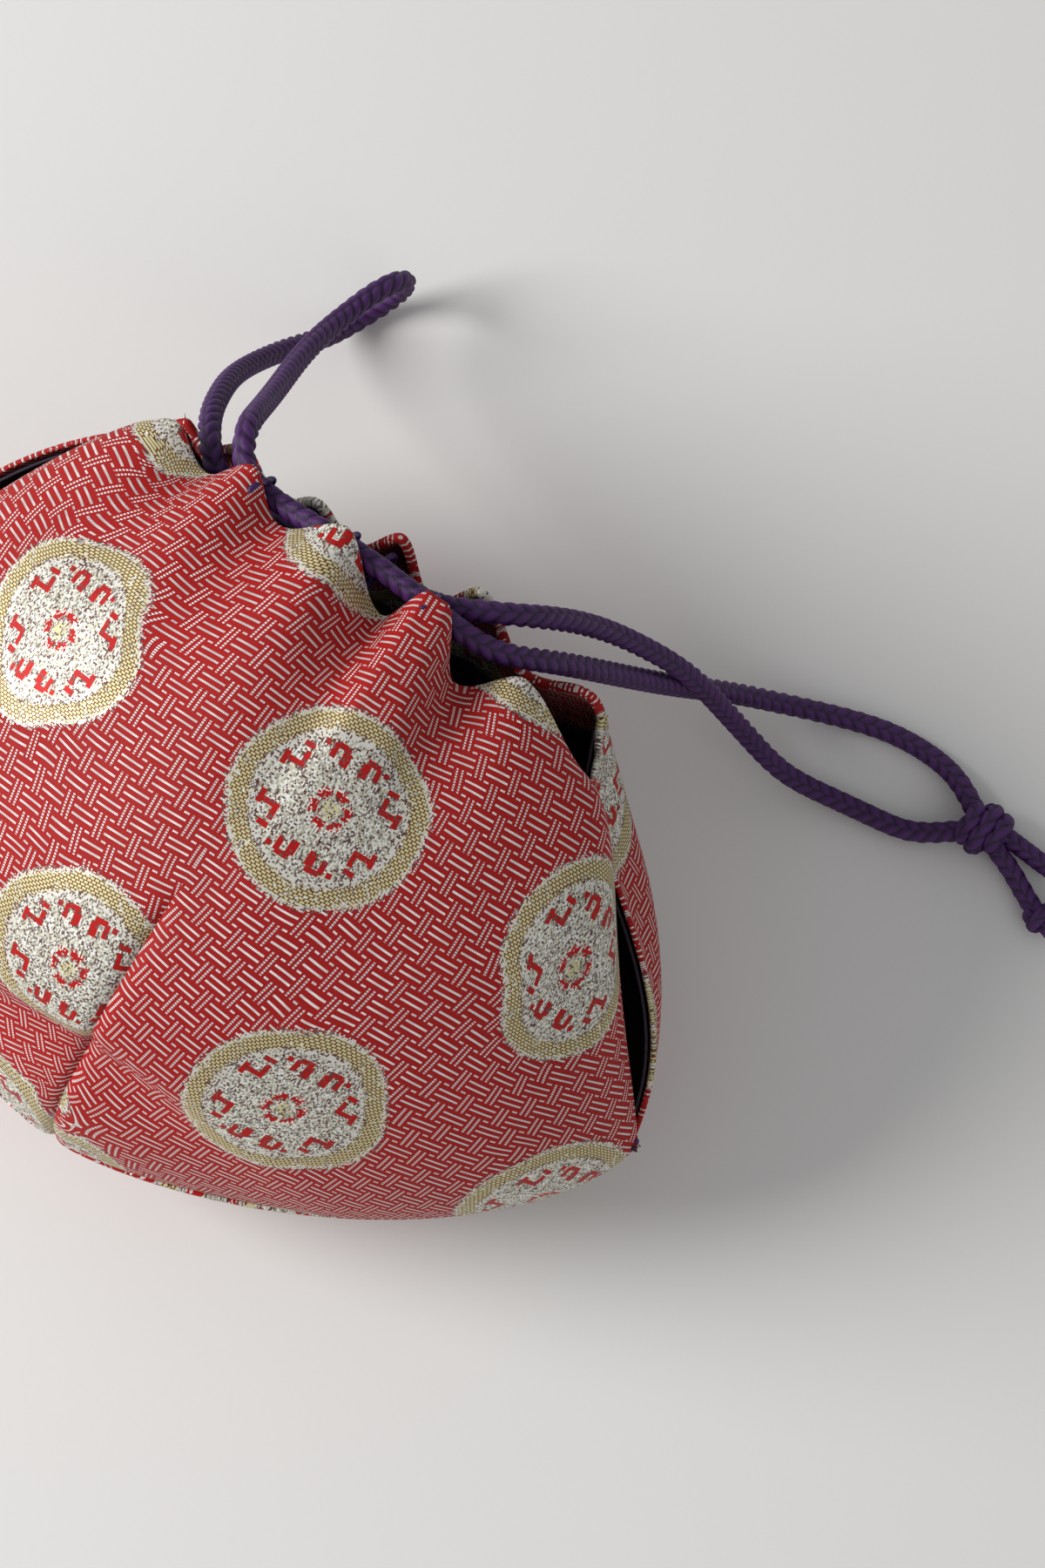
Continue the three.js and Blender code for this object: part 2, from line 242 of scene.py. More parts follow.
@dataclass
class Patch:
    """A grid of points in the maker's axes, with cloth coordinates in millimetres."""

    points: Array
    cloth: Array
    flipped: bool = False

    def faces(self, first: int) -> Array:
        """Four-sided faces between neighbouring points, counted from the given vertex.

        Args:
            first: index of the grid's first vertex in the whole mesh.

        Returns:
            One row of four vertex indices for each face.
        """
        rows, columns = self.points.shape[:2]
        index = first + np.arange(rows * columns).reshape(rows, columns)
        quads = np.stack(
            [index[:-1, :-1], index[:-1, 1:], index[1:, 1:], index[1:, :-1]], axis=-1
        ).reshape(-1, 4)
        return quads[:, ::-1] if self.flipped else quads


class PieceMaker:
    """Turns patches into finished pieces that ride on the pouch."""

    def __init__(self, placing: Placing) -> None:
        """Keeps the placing that every piece shares."""
        self.placing = placing

    def make(self, name: str, patches: list[Patch], finish: bpy.types.Material) -> bpy.types.Object:
        """Welds patches into one smooth mesh object.

        Args:
            name: name of the piece.
            patches: grids whose shared edges coincide.
            finish: material of the whole piece.

        Returns:
            The new object, at the origin.
        """
        counts = np.cumsum([0] + [patch.points[..., 0].size for patch in patches])
        faces = np.concatenate([patch.faces(first) for patch, first in zip(patches, counts)])
        points = np.concatenate([patch.points.reshape(-1, 3) for patch in patches])
        cloth = np.concatenate([patch.cloth.reshape(-1, 2) for patch in patches]) * MM
        mesh = bpy.data.meshes.new(name)
        mesh.from_pydata(self.placing.metres(points).tolist(), [], faces.tolist())
        layer = mesh.uv_layers.new(name=CLOTH_MAP)
        layer.data.foreach_set("uv", cloth[faces.ravel()].ravel())
        self.weld(mesh)
        mesh.polygons.foreach_set("use_smooth", np.ones(len(mesh.polygons), dtype=bool))
        mesh.materials.append(finish)
        piece = bpy.data.objects.new(name, mesh)
        bpy.context.scene.collection.objects.link(piece)
        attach(piece, "root")
        LOG.info("%s: %d faces", name, len(mesh.polygons))
        return piece

    @staticmethod
    def weld(mesh: bpy.types.Mesh) -> None:
        """Joins vertices that coincide, so that seams and poles close.

        Args:
            mesh: the mesh, changed in place.
        """
        work = bmesh.new()
        work.from_mesh(mesh)
        bmesh.ops.remove_doubles(work, verts=work.verts, dist=WELD)
        work.to_mesh(mesh)
        work.free()


class Wire:
    """A number that runs through a node tree and takes Python's operators."""

    def __init__(self, tree: bpy.types.NodeTree, socket: bpy.types.NodeSocket) -> None:
        """Wraps one output socket."""
        self.tree = tree
        self.socket = socket

    def step(self, operation: str, *others: "Wire | float", turned: bool = False) -> "Wire":
        """Adds a Math node.

        Args:
            operation: the Math node's operation.
            others: the further values.
            turned: True where this wire is the second value.

        Returns:
            The result as a wire.
        """
        node = self.tree.nodes.new("ShaderNodeMath")
        node.operation = operation
        values = (others[0], self) if turned else (self, *others)
        for slot, value in zip(node.inputs, values):
            if isinstance(value, Wire):
                self.tree.links.new(value.socket, slot)
            else:
                slot.default_value = float(value)
        return Wire(self.tree, node.outputs[0])

    def __add__(self, other: "Wire | float") -> "Wire":
        """Sum."""
        return self.step("ADD", other)

    __radd__ = __add__

    def __sub__(self, other: "Wire | float") -> "Wire":
        """Difference."""
        return self.step("SUBTRACT", other)

    def __rsub__(self, other: float) -> "Wire":
        """Difference from a number."""
        return self.step("SUBTRACT", other, turned=True)

    def __mul__(self, other: "Wire | float") -> "Wire":
        """Product."""
        return self.step("MULTIPLY", other)

    __rmul__ = __mul__

    def __truediv__(self, other: "Wire | float") -> "Wire":
        """Quotient."""
        return self.step("DIVIDE", other)

    def __lt__(self, other: "Wire | float") -> "Wire":
        """Mask of 1 where this is less."""
        return self.step("LESS_THAN", other)

    def __gt__(self, other: "Wire | float") -> "Wire":
        """Mask of 1 where this is greater."""
        return self.step("GREATER_THAN", other)

    def __and__(self, other: "Wire") -> "Wire":
        """Mask where both masks hold."""
        return self.step("MULTIPLY", other)

    def __or__(self, other: "Wire") -> "Wire":
        """Mask where either mask holds."""
        return self.step("MAXIMUM", other)

    def __abs__(self) -> "Wire":
        """Size without sign."""
        return self.step("ABSOLUTE")

    def wave(self, pitch: float) -> "Wire":
        """Rounded ridges from 0 to 1 that repeat at a pitch."""
        return (self * (2 * math.pi / pitch)).step("SINE") * 0.5 + 0.5

    def cell(self, size: float) -> "Wire":
        """Number of the cell of a given size that the value falls in."""
        return (self / size).step("FLOOR")

    def folded(self, period: float) -> "Wire":
        """Distance from the nearest multiple of a period."""
        return abs((self + period / 2).step("FLOORED_MODULO", period) - period / 2)

    def near(self, middle: float, half: float) -> "Wire":
        """Mask of 1 within half a width of a middle value."""
        return abs(self - middle) < half

    def between(self, low: float, high: float) -> "Wire":
        """Mask of 1 between two values."""
        return self.near((low + high) / 2, (high - low) / 2)

    @staticmethod
    def any_of(masks: list["Wire"]) -> "Wire":
        """Mask where at least one of the masks holds."""
        return reduce(Wire.__or__, masks)


class Finish:
    """A material under construction, with one method for any node."""

    def __init__(self, name: str) -> None:
        """Starts an empty node tree.

        Args:
            name: name of the material.
        """
        self.material = bpy.data.materials.new(name)
        self.material.use_nodes = True
        self.tree = self.material.node_tree
        self.tree.nodes.clear()

    def node(
        self, kind: str, settings: dict | None = None, sockets: dict | None = None
    ) -> bpy.types.Node:
        """Adds a node, its settings first and then the values or links of its sockets.

        Args:
            kind: the node's type.
            settings: attributes of the node; "stops" holds a ramp's positions and colours.
            sockets: input names or numbers with a value, a wire or an output socket.

        Returns:
            The new node.
        """
        node = self.tree.nodes.new(kind)
        options = dict(settings or {})
        stops = options.pop("stops", ())
        for key, value in options.items():
            setattr(node, key, value)
        for place, (position, colour) in enumerate(stops):
            elements = node.color_ramp.elements
            element = elements[place] if place < 2 else elements.new(position)
            element.position = position
            element.color = (*colour, 1.0)
        for key, value in (sockets or {}).items():
            source = value.socket if isinstance(value, Wire) else value
            if isinstance(source, bpy.types.NodeSocket):
                self.tree.links.new(source, node.inputs[key])
            else:
                node.inputs[key].default_value = source
        return node

    def wire(self, socket: bpy.types.NodeSocket) -> Wire:
        """An output socket as a wire."""
        return Wire(self.tree, socket)

    def cloth(self) -> tuple[Wire, Wire]:
        """Reads the cloth coordinates.

        Returns:
            The coordinates across and along the cloth in millimetres.
        """
        sheet = self.node("ShaderNodeUVMap", {"uv_map": CLOTH_MAP})
        parts = self.node("ShaderNodeSeparateXYZ", sockets={0: sheet.outputs[0]})
        return self.wire(parts.outputs[0]) / MM, self.wire(parts.outputs[1]) / MM

    def mix(self, share: Wire, first: Paint, second: Paint) -> bpy.types.NodeSocket:
        """Mixes two colours.

        Args:
            share: how much of the second colour shows.
            first: colour or socket under it.
            second: colour or socket over it.

        Returns:
            The mixed colour's socket.
        """
        colours = [(*part, 1.0) if isinstance(part, tuple) else part for part in (first, second)]
        node = self.node(
            "ShaderNodeMix", {"data_type": "RGBA"}, {0: share, 6: colours[0], 7: colours[1]}
        )
        return node.outputs[2]

    def speck(self, across: Wire, along: Wire) -> Wire:
        """A chance number for each cell, the same all over it.

        Args:
            across: number of the cell across.
            along: number of the cell along.

        Returns:
            Numbers from 0 to 1.
        """
        pair = self.node("ShaderNodeCombineXYZ", sockets={0: across, 1: along})
        noise = self.node(
            "ShaderNodeTexWhiteNoise", {"noise_dimensions": "2D"}, {"Vector": pair.outputs[0]}
        )
        return self.wire(noise.outputs["Value"])

    def drift(self, scale: float) -> Wire:
        """Slow noise over the piece.

        Args:
            scale: waves in a metre.

        Returns:
            Numbers from 0 to 1.
        """
        place = self.node("ShaderNodeTexCoord")
        noise = self.node(
            "ShaderNodeTexNoise",
            {"noise_dimensions": "3D"},
            {"Vector": place.outputs["Object"], "Scale": scale, "Detail": 2.0},
        )
        return self.wire(noise.outputs[0])

    def close(
        self,
        colour: bpy.types.NodeSocket,
        roughness: Wire,
        height: Wire,
        relief: float,
        metallic: Wire | float = 0.0,
        constants: dict | None = None,
    ) -> bpy.types.Material:
        """Ends the tree in one surface shader.

        Args:
            colour: socket of the base colour.
            roughness: roughness over the surface.
            height: relief from 0 to 1.
            relief: depth of the relief in millimetres.
            metallic: how metallic the surface is.
            constants: further sockets of the shader that are the same all over.

        Returns:
            The finished material.
        """
        bump = self.node(
            "ShaderNodeBump", sockets={"Height": height, "Distance": relief * MM, "Strength": 1.0}
        )
        shader = self.node(
            "ShaderNodeBsdfPrincipled",
            sockets={
                "Base Color": colour,
                "Roughness": roughness,
                "Metallic": metallic,
                "Normal": bump.outputs[0],
                **(constants or {}),
            },
        )
        self.node("ShaderNodeOutputMaterial", sockets={"Surface": shader.outputs[0]})
        return self.material


@dataclass(frozen=True)
class Brocade:
    """Red silk with a silver basket weave and a lattice of round silver and gold medallions.

    Sizes are millimetres. A basket line is its level, its half width, and its half length or the
    place where it starts. A bar of the marks is its two ends across and its two ends along. What is
    worn is the share of threads that a part of a medallion has lost.
    """

    red: Colour = linear(182, 25, 23)
    red_shade: Colour = linear(126, 11, 10)
    silver: Colour = linear(240, 233, 230)
    silver_shade: Colour = linear(196, 174, 170)
    pale: Colour = linear(220, 216, 206)
    gold: Colour = linear(216, 207, 156)
    gold_shade: Colour = linear(108, 66, 46)
    field_tones: tuple[tuple[float, Colour], ...] = (
        (0.0, linear(96, 40, 38)),
        (1.0, linear(242, 241, 236)),
        (0.15, linear(108, 92, 88)),
        (0.34, linear(174, 170, 160)),
        (0.60, linear(204, 200, 174)),
        (0.78, linear(228, 226, 218)),
    )
    rib: float = 0.27
    wear: float = 90.0
    roughness: float = 0.62
    metal: float = 0.28
    relief: float = 0.16
    specular: float = 0.22
    weave_across: float = 6.1
    weave_along: float = 6.55
    full_line: Triple = (0.53, 0.165, 1.94)
    broken_line: Pair = (1.63, 0.14)
    broken_part: Pair = (1.52, 0.42)
    dotted_line: Triple = (0.44, 0.175, 1.475)
    bead_across: float = 0.29
    bead_along: float = 0.42
    bead_gap: float = 0.16
    lattice_across: float = 48.7
    lattice_along: float = 40.5
    jag: float = 0.45
    fleck_across: float = 0.24
    fleck_along: float = 0.3
    fray: float = 0.9
    disc_edge: float = 15.2
    gold_band: Pair = (11.9, 14.6)
    pale_band: Pair = (10.8, 11.9)
    petal_band: Pair = (2.1, 3.1)
    petals: int = 6
    petal_gap: float = 0.14
    heart: float = 1.5
    brick_length: float = 0.87
    brick_height: float = 0.46
    brick_gaps: Pair = (0.11, 0.06)
    gold_worn: float = 0.08
    pale_worn: float = 0.3
    marks_worn: float = 0.16
    heart_worn: float = 0.45
    bars: tuple[tuple[float, float, float, float], ...] = (
        (1.1, 2.1, 6.5, 8.6), (1.2, 3.4, 8.55, 9.65), (3.0, 4.2, 6.9, 9.0), (4.4, 5.4, 8.1, 9.1),
        (8.85, 9.95, 2.3, 4.3), (6.2, 9.6, 2.95, 4.05), (6.15, 7.25, 3.4, 5.7),
        (6.5, 7.9, 6.2, 7.4),
    )

    def material(self) -> bpy.types.Material:
        """Builds the whole cloth, ground first and the medallions over it.

        Returns:
            The finished material.
        """
        finish = Finish("brocade")
        across, along = finish.cloth()
        rib = across.wave(self.rib)
        lines, beads = self.basket(across, along)
        wear = finish.drift(self.wear)
        ground = finish.mix(rib * 0.55 + wear * 0.25, self.red, self.red_shade)
        thread = finish.mix(beads, self.silver_shade, self.silver)
        ground = finish.mix(lines, ground, thread)
        colour, disc, raised = self.medallion(finish, across, along, ground)
        height = (1.0 - disc) * (rib * 0.2 + lines * (beads * 0.5 + 0.3)) + disc * raised
        bright = (disc | lines) * self.metal
        constants = {"Specular IOR Level": self.specular}
        return finish.close(
            colour, self.roughness - bright * 0.5, height, self.relief, bright, constants
        )

    def basket(self, across: Wire, along: Wire) -> tuple[Wire, Wire]:
        """Silver lines of the ground, two staggered copies of one repeat.

        Each repeat has two full lines and two broken ones across the cloth and a pair of dotted
        lines along it, all mirrored about the repeat's middle.

        Args:
            across: coordinate along the mouth.
            along: coordinate from base to mouth.

        Returns:
            The mask of the lines, and the beading of their thread.
        """
        levels, plumbs = [], []
        for shift in (0.0, 0.5):
            u = (across + shift * self.weave_across).folded(self.weave_across)
            v = (along + shift * self.weave_along).folded(self.weave_along)
            levels.append(v.near(*self.full_line[:2]) & (u < self.full_line[2]))
            levels.append(v.near(*self.broken_line) & u.near(*self.broken_part))
            plumbs.append(u.near(*self.dotted_line[:2]) & (v > self.dotted_line[2]))
        level = Wire.any_of(levels)
        dots = along.wave(self.bead_along)
        beads = level * across.wave(self.bead_across) + (1.0 - level) * dots
        return level | (Wire.any_of(plumbs) & (dots > self.bead_gap)), beads

    def medallion(
        self, finish: Finish, across: Wire, along: Wire, ground: bpy.types.NodeSocket
    ) -> tuple[bpy.types.NodeSocket, Wire, Wire]:
        """Round medallions on a staggered lattice, with thread-stepped edges.

        From the middle out: a heart, a ring of petals, a field of mixed threads with red marks, and
        a gold band of small bricks between two pale lines.

        Args:
            finish: the material under construction.
            across: coordinate along the mouth.
            along: coordinate from base to mouth.
            ground: colour of the cloth around them.

        Returns:
            The colour with the medallions, the mask of their discs, and their relief.
        """
        row = (along / self.lattice_along + 0.5).step("FLOOR")
        stagger = row.step("FLOORED_MODULO", 2.0) * 0.5
        column = (across / self.lattice_across - stagger + 0.5).step("FLOOR")
        x = ((across - (column + stagger) * self.lattice_across).cell(self.jag) + 0.5) * self.jag
        y = ((along - row * self.lattice_along).cell(self.jag) + 0.5) * self.jag
        speck = finish.speck(across.cell(self.fleck_across), along.cell(self.fleck_along))
        radius = (x * x + y * y).step("SQRT") + (speck - 0.5) * self.fray
        disc = radius < self.disc_edge
        slide = along.cell(self.brick_height).step("FLOORED_MODULO", 2.0) * (self.brick_length / 2)
        brick = (across + slide).folded(self.brick_length) > self.brick_gaps[0]
        brick = brick & (along.folded(self.brick_height) > self.brick_gaps[1])
        gold = radius.between(*self.gold_band) & (finish.speck(x, y) > self.gold_worn)
        field = finish.node("ShaderNodeValToRGB", {"stops": self.field_tones}, {0: speck})
        rim = (radius > self.gold_band[1]) | radius.between(*self.pale_band)
        marks = self.marks(abs(x), abs(y)) & (speck > self.marks_worn)
        turn = y.step("ARCTAN2", x)
        petals = turn.wave(2 * math.pi / self.petals) > self.petal_gap
        colour = ground
        for mask, tone in (
            (disc, field.outputs[0]),
            (disc & rim & (speck > self.pale_worn), self.pale),
            (gold, finish.mix(brick, self.gold_shade, self.gold)),
            (marks, self.red),
            (radius.between(*self.petal_band) & petals, self.red),
            ((radius < self.heart) & (speck > self.heart_worn), self.gold),
        ):
            colour = finish.mix(mask, colour, tone)
        return colour, disc, gold * brick * 0.8 + (1.0 - gold) * speck

    def marks(self, x: Wire, y: Wire) -> Wire:
        """Small angular marks in a medallion, plain bars mirrored across both its axes.

        Args:
            x: distance from the medallion's middle along the mouth.
            y: distance from its middle towards base or mouth.

        Returns:
            The mask of the marks.
        """
        return Wire.any_of([x.between(*bar[:2]) & y.between(*bar[2:]) for bar in self.bars])


@dataclass(frozen=True)
class LiningCloth:
    """Plain dark silk of the lining."""

    dark: Colour = linear(30, 20, 32)
    light: Colour = linear(52, 36, 54)
    pitch: float = 0.4
    wear: float = 60.0
    roughness: float = 0.78
    relief: float = 0.05

    def material(self) -> bpy.types.Material:
        """A fine plain weave, two sets of threads over and under each other.

        Returns:
            The finished material.
        """
        finish = Finish("lining_silk")
        across, along = finish.cloth()
        weave = across.wave(self.pitch) * along.wave(self.pitch)
        shade = weave * 0.6 + finish.drift(self.wear) * 0.4
        colour = finish.mix(shade, self.dark, self.light)
        return finish.close(colour, self.roughness - weave * 0.15, weave, self.relief)


@dataclass(frozen=True)
class Plait:
    """Pattern of the round braid: zigzags round the cord and stitches along it, in millimetres.

    The two legs of each zigzag are half a stitch apart. The powers, below 1, make the stitches full
    and the partings between the legs narrow.
    """

    zigzags: int = 2
    zigzag_width: float = 4.0
    stitch: float = 2.3
    slant: float = 0.8
    parting: float = 0.6
    stitch_power: float = 0.7
    parting_power: float = 0.5


PLAIT = Plait()


@dataclass(frozen=True)
class SilkCord:
    """Purple silk of the braid."""

    # painted shade: colour of the low places between the stitches and in the partings
    painted_groove_shade: Colour = linear(18, 3, 28)
    deep: Colour = linear(46, 9, 64)
    bright: Colour = linear(86, 26, 112)
    filament: float = 0.24
    filament_lean: float = 0.8
    fill: float = 1.25
    wear: float = 240.0
    roughness: float = 0.6
    relief: float = 0.12

    def material(self) -> bpy.types.Material:
        """Fine filaments over the stitches of the plait, with painted shade where the stitches meet and
        in the partings.

        Returns:
            The finished material.
        """
        finish = Finish("braid_silk")
        around, along = finish.cloth()
        turn = around / PLAIT.zigzag_width
        leg = turn.step("FRACT") - 0.5
        phase = along / PLAIT.stitch + abs(leg) * (2 * PLAIT.slant) + (leg > 0.0) * 0.5
        ridge = abs((phase * math.pi).step("SINE")).step("POWER", PLAIT.stitch_power)
        column = abs((turn * (2 * math.pi)).step("SINE")).step("POWER", PLAIT.parting_power)
        crest = ridge * (column * PLAIT.parting + (1 - PLAIT.parting))
        fine = (around * self.filament_lean + along).wave(self.filament)
        silk = finish.mix(fine * 0.5 + finish.drift(self.wear) * 0.5, self.deep, self.bright)
        # painted shade: the plait's low places darken towards the painted groove shade colour
        colour = finish.mix((crest * self.fill).step("MINIMUM", 1.0), self.painted_groove_shade, silk)
        height = crest * 0.7 + fine * 0.3
        return finish.close(colour, self.roughness - fine * 0.12, height, self.relief)


@dataclass(frozen=True)
class SewingSilk:
    """Dark purple twisted thread."""

    deep: Colour = linear(34, 10, 54)
    bright: Colour = linear(78, 34, 112)
    twist: float = 0.5
    wear: float = 400.0
    roughness: float = 0.62
    relief: float = 0.06

    def material(self) -> bpy.types.Material:
        """Two plies that wind along the thread.

        Returns:
            The finished material.
        """
        finish = Finish("sewing_silk")
        around, along = finish.cloth()
        ply = (around + along).wave(self.twist)
        shade = ply * 0.7 + finish.drift(self.wear) * 0.3
        colour = finish.mix(shade, self.deep, self.bright)
        return finish.close(colour, self.roughness - ply * 0.1, ply, self.relief)


@dataclass(frozen=True)
class PaleFloor:
    """Matt pale floor, nearly even."""

    tone: Colour = linear(226, 224, 221)
    light: Colour = linear(232, 230, 227)
    wear: float = 3.0
    polish: float = 5.0
    grain: float = 900.0
    roughness: float = 0.75
    relief: float = 0.01

    def material(self) -> bpy.types.Material:
        """A slow change of tone and of polish over a fine grain.

        Returns:
            The finished material.
        """
        finish = Finish("floor")
        colour = finish.mix(finish.drift(self.wear), self.tone, self.light)
        roughness = finish.drift(self.polish) * 0.1 + self.roughness
        return finish.close(colour, roughness, finish.drift(self.grain), self.relief)


@dataclass(frozen=True)
class Lip:
    """One side of the mouth: its line, its height, and its gathered folds.

    A fold is the place along the lip, how far it stands out and how far it rises, given at each
    crest and each dip in turn.
    """

    half_width: float
    y: float
    z: float
    corner_z: float
    right_flank: Pair
    left_flank: Pair
    folds: tuple[Triple, ...]


FRONT_LIP = Lip(
    half_width=43.0,
    y=0.0,
    z=79.0,
    corner_z=62.0,
    right_flank=(64.0, -11.0),
    left_flank=(64.0, -11.0),
    folds=(
        (-43.0, 2.2, 0.0), (-38.0, 4.2, 2.0), (-29.6, 0.9, -2.2), (-23.0, 4.6, 3.0),
        (-15.4, 0.3, -3.0), (-5.3, 4.5, 3.0), (4.6, -1.4, -5.6), (9.8, 4.2, 3.0), (13.2, 4.4, 3.2),
        (18.6, -2.6, -5.0), (28.0, 3.4, 2.6), (43.0, -1.6, 0.0),
    ),
)
BACK_LIP = Lip(
    half_width=40.0,
    y=9.0,
    z=66.0,
    corner_z=57.0,
    right_flank=(78.0, -14.0),
    left_flank=(72.0, -4.0),
    folds=(
        (-40.0, -1.0, -1.0), (-35.0, -2.2, -3.5), (-28.0, -0.6, 2.5), (-20.7, -3.2, -4.0),
        (-13.4, -1.2, 3.0), (-6.6, -2.5, -4.0), (0.2, 1.8, 3.5), (7.5, -2.0, -5.0),
        (14.5, 2.6, 3.5), (25.0, -1.5, -5.0), (36.0, 1.0, 2.5), (40.0, 0.0, 0.0),
    ),
)


class Side(Enum):
    """The two sides of the pouch, each cut from one piece of cloth."""

    FRONT = "front"
    BACK = "back"


@dataclass(frozen=True)
class PouchForm:
    """The filled pouch lying on its back, as two surfaces that meet at the seam.

    Both surfaces take a, from -1 at the left slit to 1 at the right one, and t, from 0 at the lip
    to 1 at the seam. A power, run, spring or fall is an exponent. A lean is given near the mouth and
    near the base, and its change and start are shares of the way from lip to seam.
    """

    ear_x: float = 76.5
    ear_y: float = -42.0
    ear_z: float = 27.0
    base_y: float = -90.5
    pole_z: float = 26.0
    seam_roundness: float = 1.58
    lip_skew: float = -0.07
    apex_z: float = 82.0
    crown_end: float = 0.2
    crown_power: float = 0.8
    front_run: float = 1.15
    front_fullness: float = 0.8
    right_slit_inset: float = 5.2
    left_slit_inset: float = 3.0
    inset_power: float = 8.0
    inset_run: float = 1.2
    slit_pull: Pair = (0.8, 0.6)
    right_lean: Pair = (10.0, 5.0)
    left_lean: Pair = (2.5, 3.0)
    lean_change: Pair = (0.25, 0.7)
    lean_start: Pair = (0.1, 0.18)
    lean_power: float = 70.0
    lean_fall: float = 0.4
    seam_gap: float = 0.1
    slit_spring: float = 1.35
    end_wall: float = 0.25
    base_wall: float = 0.3
    back_roundness: float = 2.4
    back_fullness: float = 1.15
    press_blend: float = 0.09
    gather_length: float = 16.0
    dart_top_y: float = -52.0
    dart_lean: float = 0.06
    dart_depth: float = 1.2
    dart_width: float = 1.1
    dart_power: float = 1.2
    dart_end: float = 6.0
    crease_y: float = -80.0
    crease_depth: float = 4.0
    crease_width: float = 2.6
    crease_foot: float = 6.0
    crease_reach: float = 24.0

    def plan(self, a: Array, run: Array, lip: Lip) -> tuple[Array, Array, Array]:
        """Plan of a surface: a bent line from each point of the lip to a point of the seam.

        The seam is a rounded curve from ear to ear round the base, the lip a straight skewed line,
        and a quadratic curve runs between them, drawn towards a point at the flank.

        Args:
            a: place along the lip.
            run: share of the way from lip to seam.
            lip: the side's lip.

        Returns:
            x and y on the surface, and x along the lip.
        """
        turn = a * math.pi / 2
        side = np.sin(turn)
        power = 2 / self.seam_roundness
        seam_x = self.ear_x * np.sign(side) * np.abs(side) ** power
        seam_y = self.ear_y + (self.base_y - self.ear_y) * np.abs(np.cos(turn)) ** power
        lip_x = lip.half_width * side
        lip_y = lip.y + self.lip_skew * lip_x
        flank = np.where((a > 0)[..., None], lip.right_flank, lip.left_flank)
        bend_x = flank[..., 0] * side
        bend_y = blend((lip_y + seam_y) / 2, flank[..., 1], side**2)
        x = (1 - run) ** 2 * lip_x + 2 * run * (1 - run) * bend_x + run**2 * seam_x
        y = (1 - run) ** 2 * lip_y + 2 * run * (1 - run) * bend_y + run**2 * seam_y
        return x, y, lip_x

    @staticmethod
    def folds(lip_x: Array, lip: Lip) -> tuple[Array, Array]:
        """Reach and rise of the gathers along a lip, half cosines between crests and dips.

        Args:
            lip_x: place along the lip.
            lip: the side's lip.

        Returns:
            How far the cloth stands out and how far it rises.
        """
        table = np.array(lip.folds)
        place = np.interp(lip_x, table[:, 0], np.arange(len(table)))
        first = np.minimum(np.floor(place).astype(int), len(table) - 2)
        share = 0.5 - 0.5 * np.cos(math.pi * (place - first))
        values = blend(table[first], table[first + 1], share[..., None])
        return values[..., 1], values[..., 2]

    def drawn_aside(self, a: Array, x: Array, y: Array, distance: Array) -> tuple[Array, Array]:
        """Plan places moved in from the nearer slit by a distance."""
        inward, down = self.slit_pull
        return x - np.sign(a) * inward * distance, y - down * distance

    def front(self, a: Array, t: Array) -> Array:
        """The upper side: a domed cap over the plan, with the lip's gathers fading down it.

        Its height goes from the rim to the crown by a power of the cosine across the pouch times a
        quarter circle from the seam up, and the slits draw its flanks in.

        Args:
            a: place along the lip.
            t: place from lip to seam.

        Returns:
            Points of the surface.
        """
        run = np.sin(t * math.pi / 2) ** self.front_run
        turn = a * math.pi / 2
        side = np.abs(np.sin(turn))
        x, y, lip_x = self.plan(a, run, FRONT_LIP)
        slit = blend(FRONT_LIP.corner_z, self.ear_z, run**self.slit_spring)
        rim = blend(self.pole_z, slit, side**2)
        sag = np.clip((self.crown_end - run) / self.crown_end, 0.0, 1.0) ** 2
        crown = blend(self.apex_z, FRONT_LIP.z, sag)
        across = np.maximum(np.cos(turn), 0.0) ** self.crown_power
        z = blend(rim, crown, across * quarter((1 - run) / self.front_fullness))
        inset = np.where(a > 0, self.right_slit_inset, self.left_slit_inset)
        inset = inset * side**self.inset_power * np.sin(math.pi * run**self.inset_run)
        x, y = self.drawn_aside(a, x, y, inset)
        reach, rise = self.folds(lip_x, FRONT_LIP)
        fade = np.exp(run * self.base_y / self.gather_length)
        return np.stack([x, y + reach * fade, z + rise * fade], axis=-1)

    def back(self, a: Array, t: Array) -> Array:
        """The under side: walls that drop from the rim to a bottom pressed flat on the table.

        Its height is the rim's times what two rounded walls leave of it, eased to nothing where it
        meets the table. The edges of the slits lean in.

        Args:
            a: place along the lip.
            t: place from lip to seam.

        Returns:
            Points of the surface.
        """
        run = 0.5 - 0.5 * np.cos(math.pi * t)
        side = np.abs(np.sin(a * math.pi / 2))
        x, y, lip_x = self.plan(a, run, BACK_LIP)
        middle = blend(BACK_LIP.z, self.pole_z, run)
        corner = blend(BACK_LIP.corner_z, self.ear_z, run)
        rim = blend(middle, corner, side**2) - self.seam_gap * run
        across = np.sqrt(np.maximum(0.0, 1 - side**self.back_roundness))
        along = quarter(run / self.end_wall) * quarter((1 - run) / self.base_wall)
        left = 1 - self.back_fullness * across * along
        eased = np.clip(left + self.press_blend, 0.0, None) ** 2 / (4 * self.press_blend)
        share = np.where(left > self.press_blend, left, eased)
        down = np.clip((run - self.lean_change[0]) / self.lean_change[1], 0.0, 1.0)
        high, low = np.where(a[..., None] > 0, self.right_lean, self.left_lean).transpose(2, 0, 1)
        most = blend(high, low, down**2 * (3 - 2 * down))
        start = np.clip(self.lean_start[0] + run / self.lean_start[1], 0.0, 1.0)
        lean = most * side**self.lean_power * start * np.maximum(0.0, 1 - run) ** self.lean_fall
        x, y = self.drawn_aside(a, x, y, lean)
        reach, rise = self.folds(lip_x, BACK_LIP)
        fade = np.exp(run * self.base_y / self.gather_length) * share**2
        return np.stack([x, y + reach * fade, rim * share + rise * fade], axis=-1)

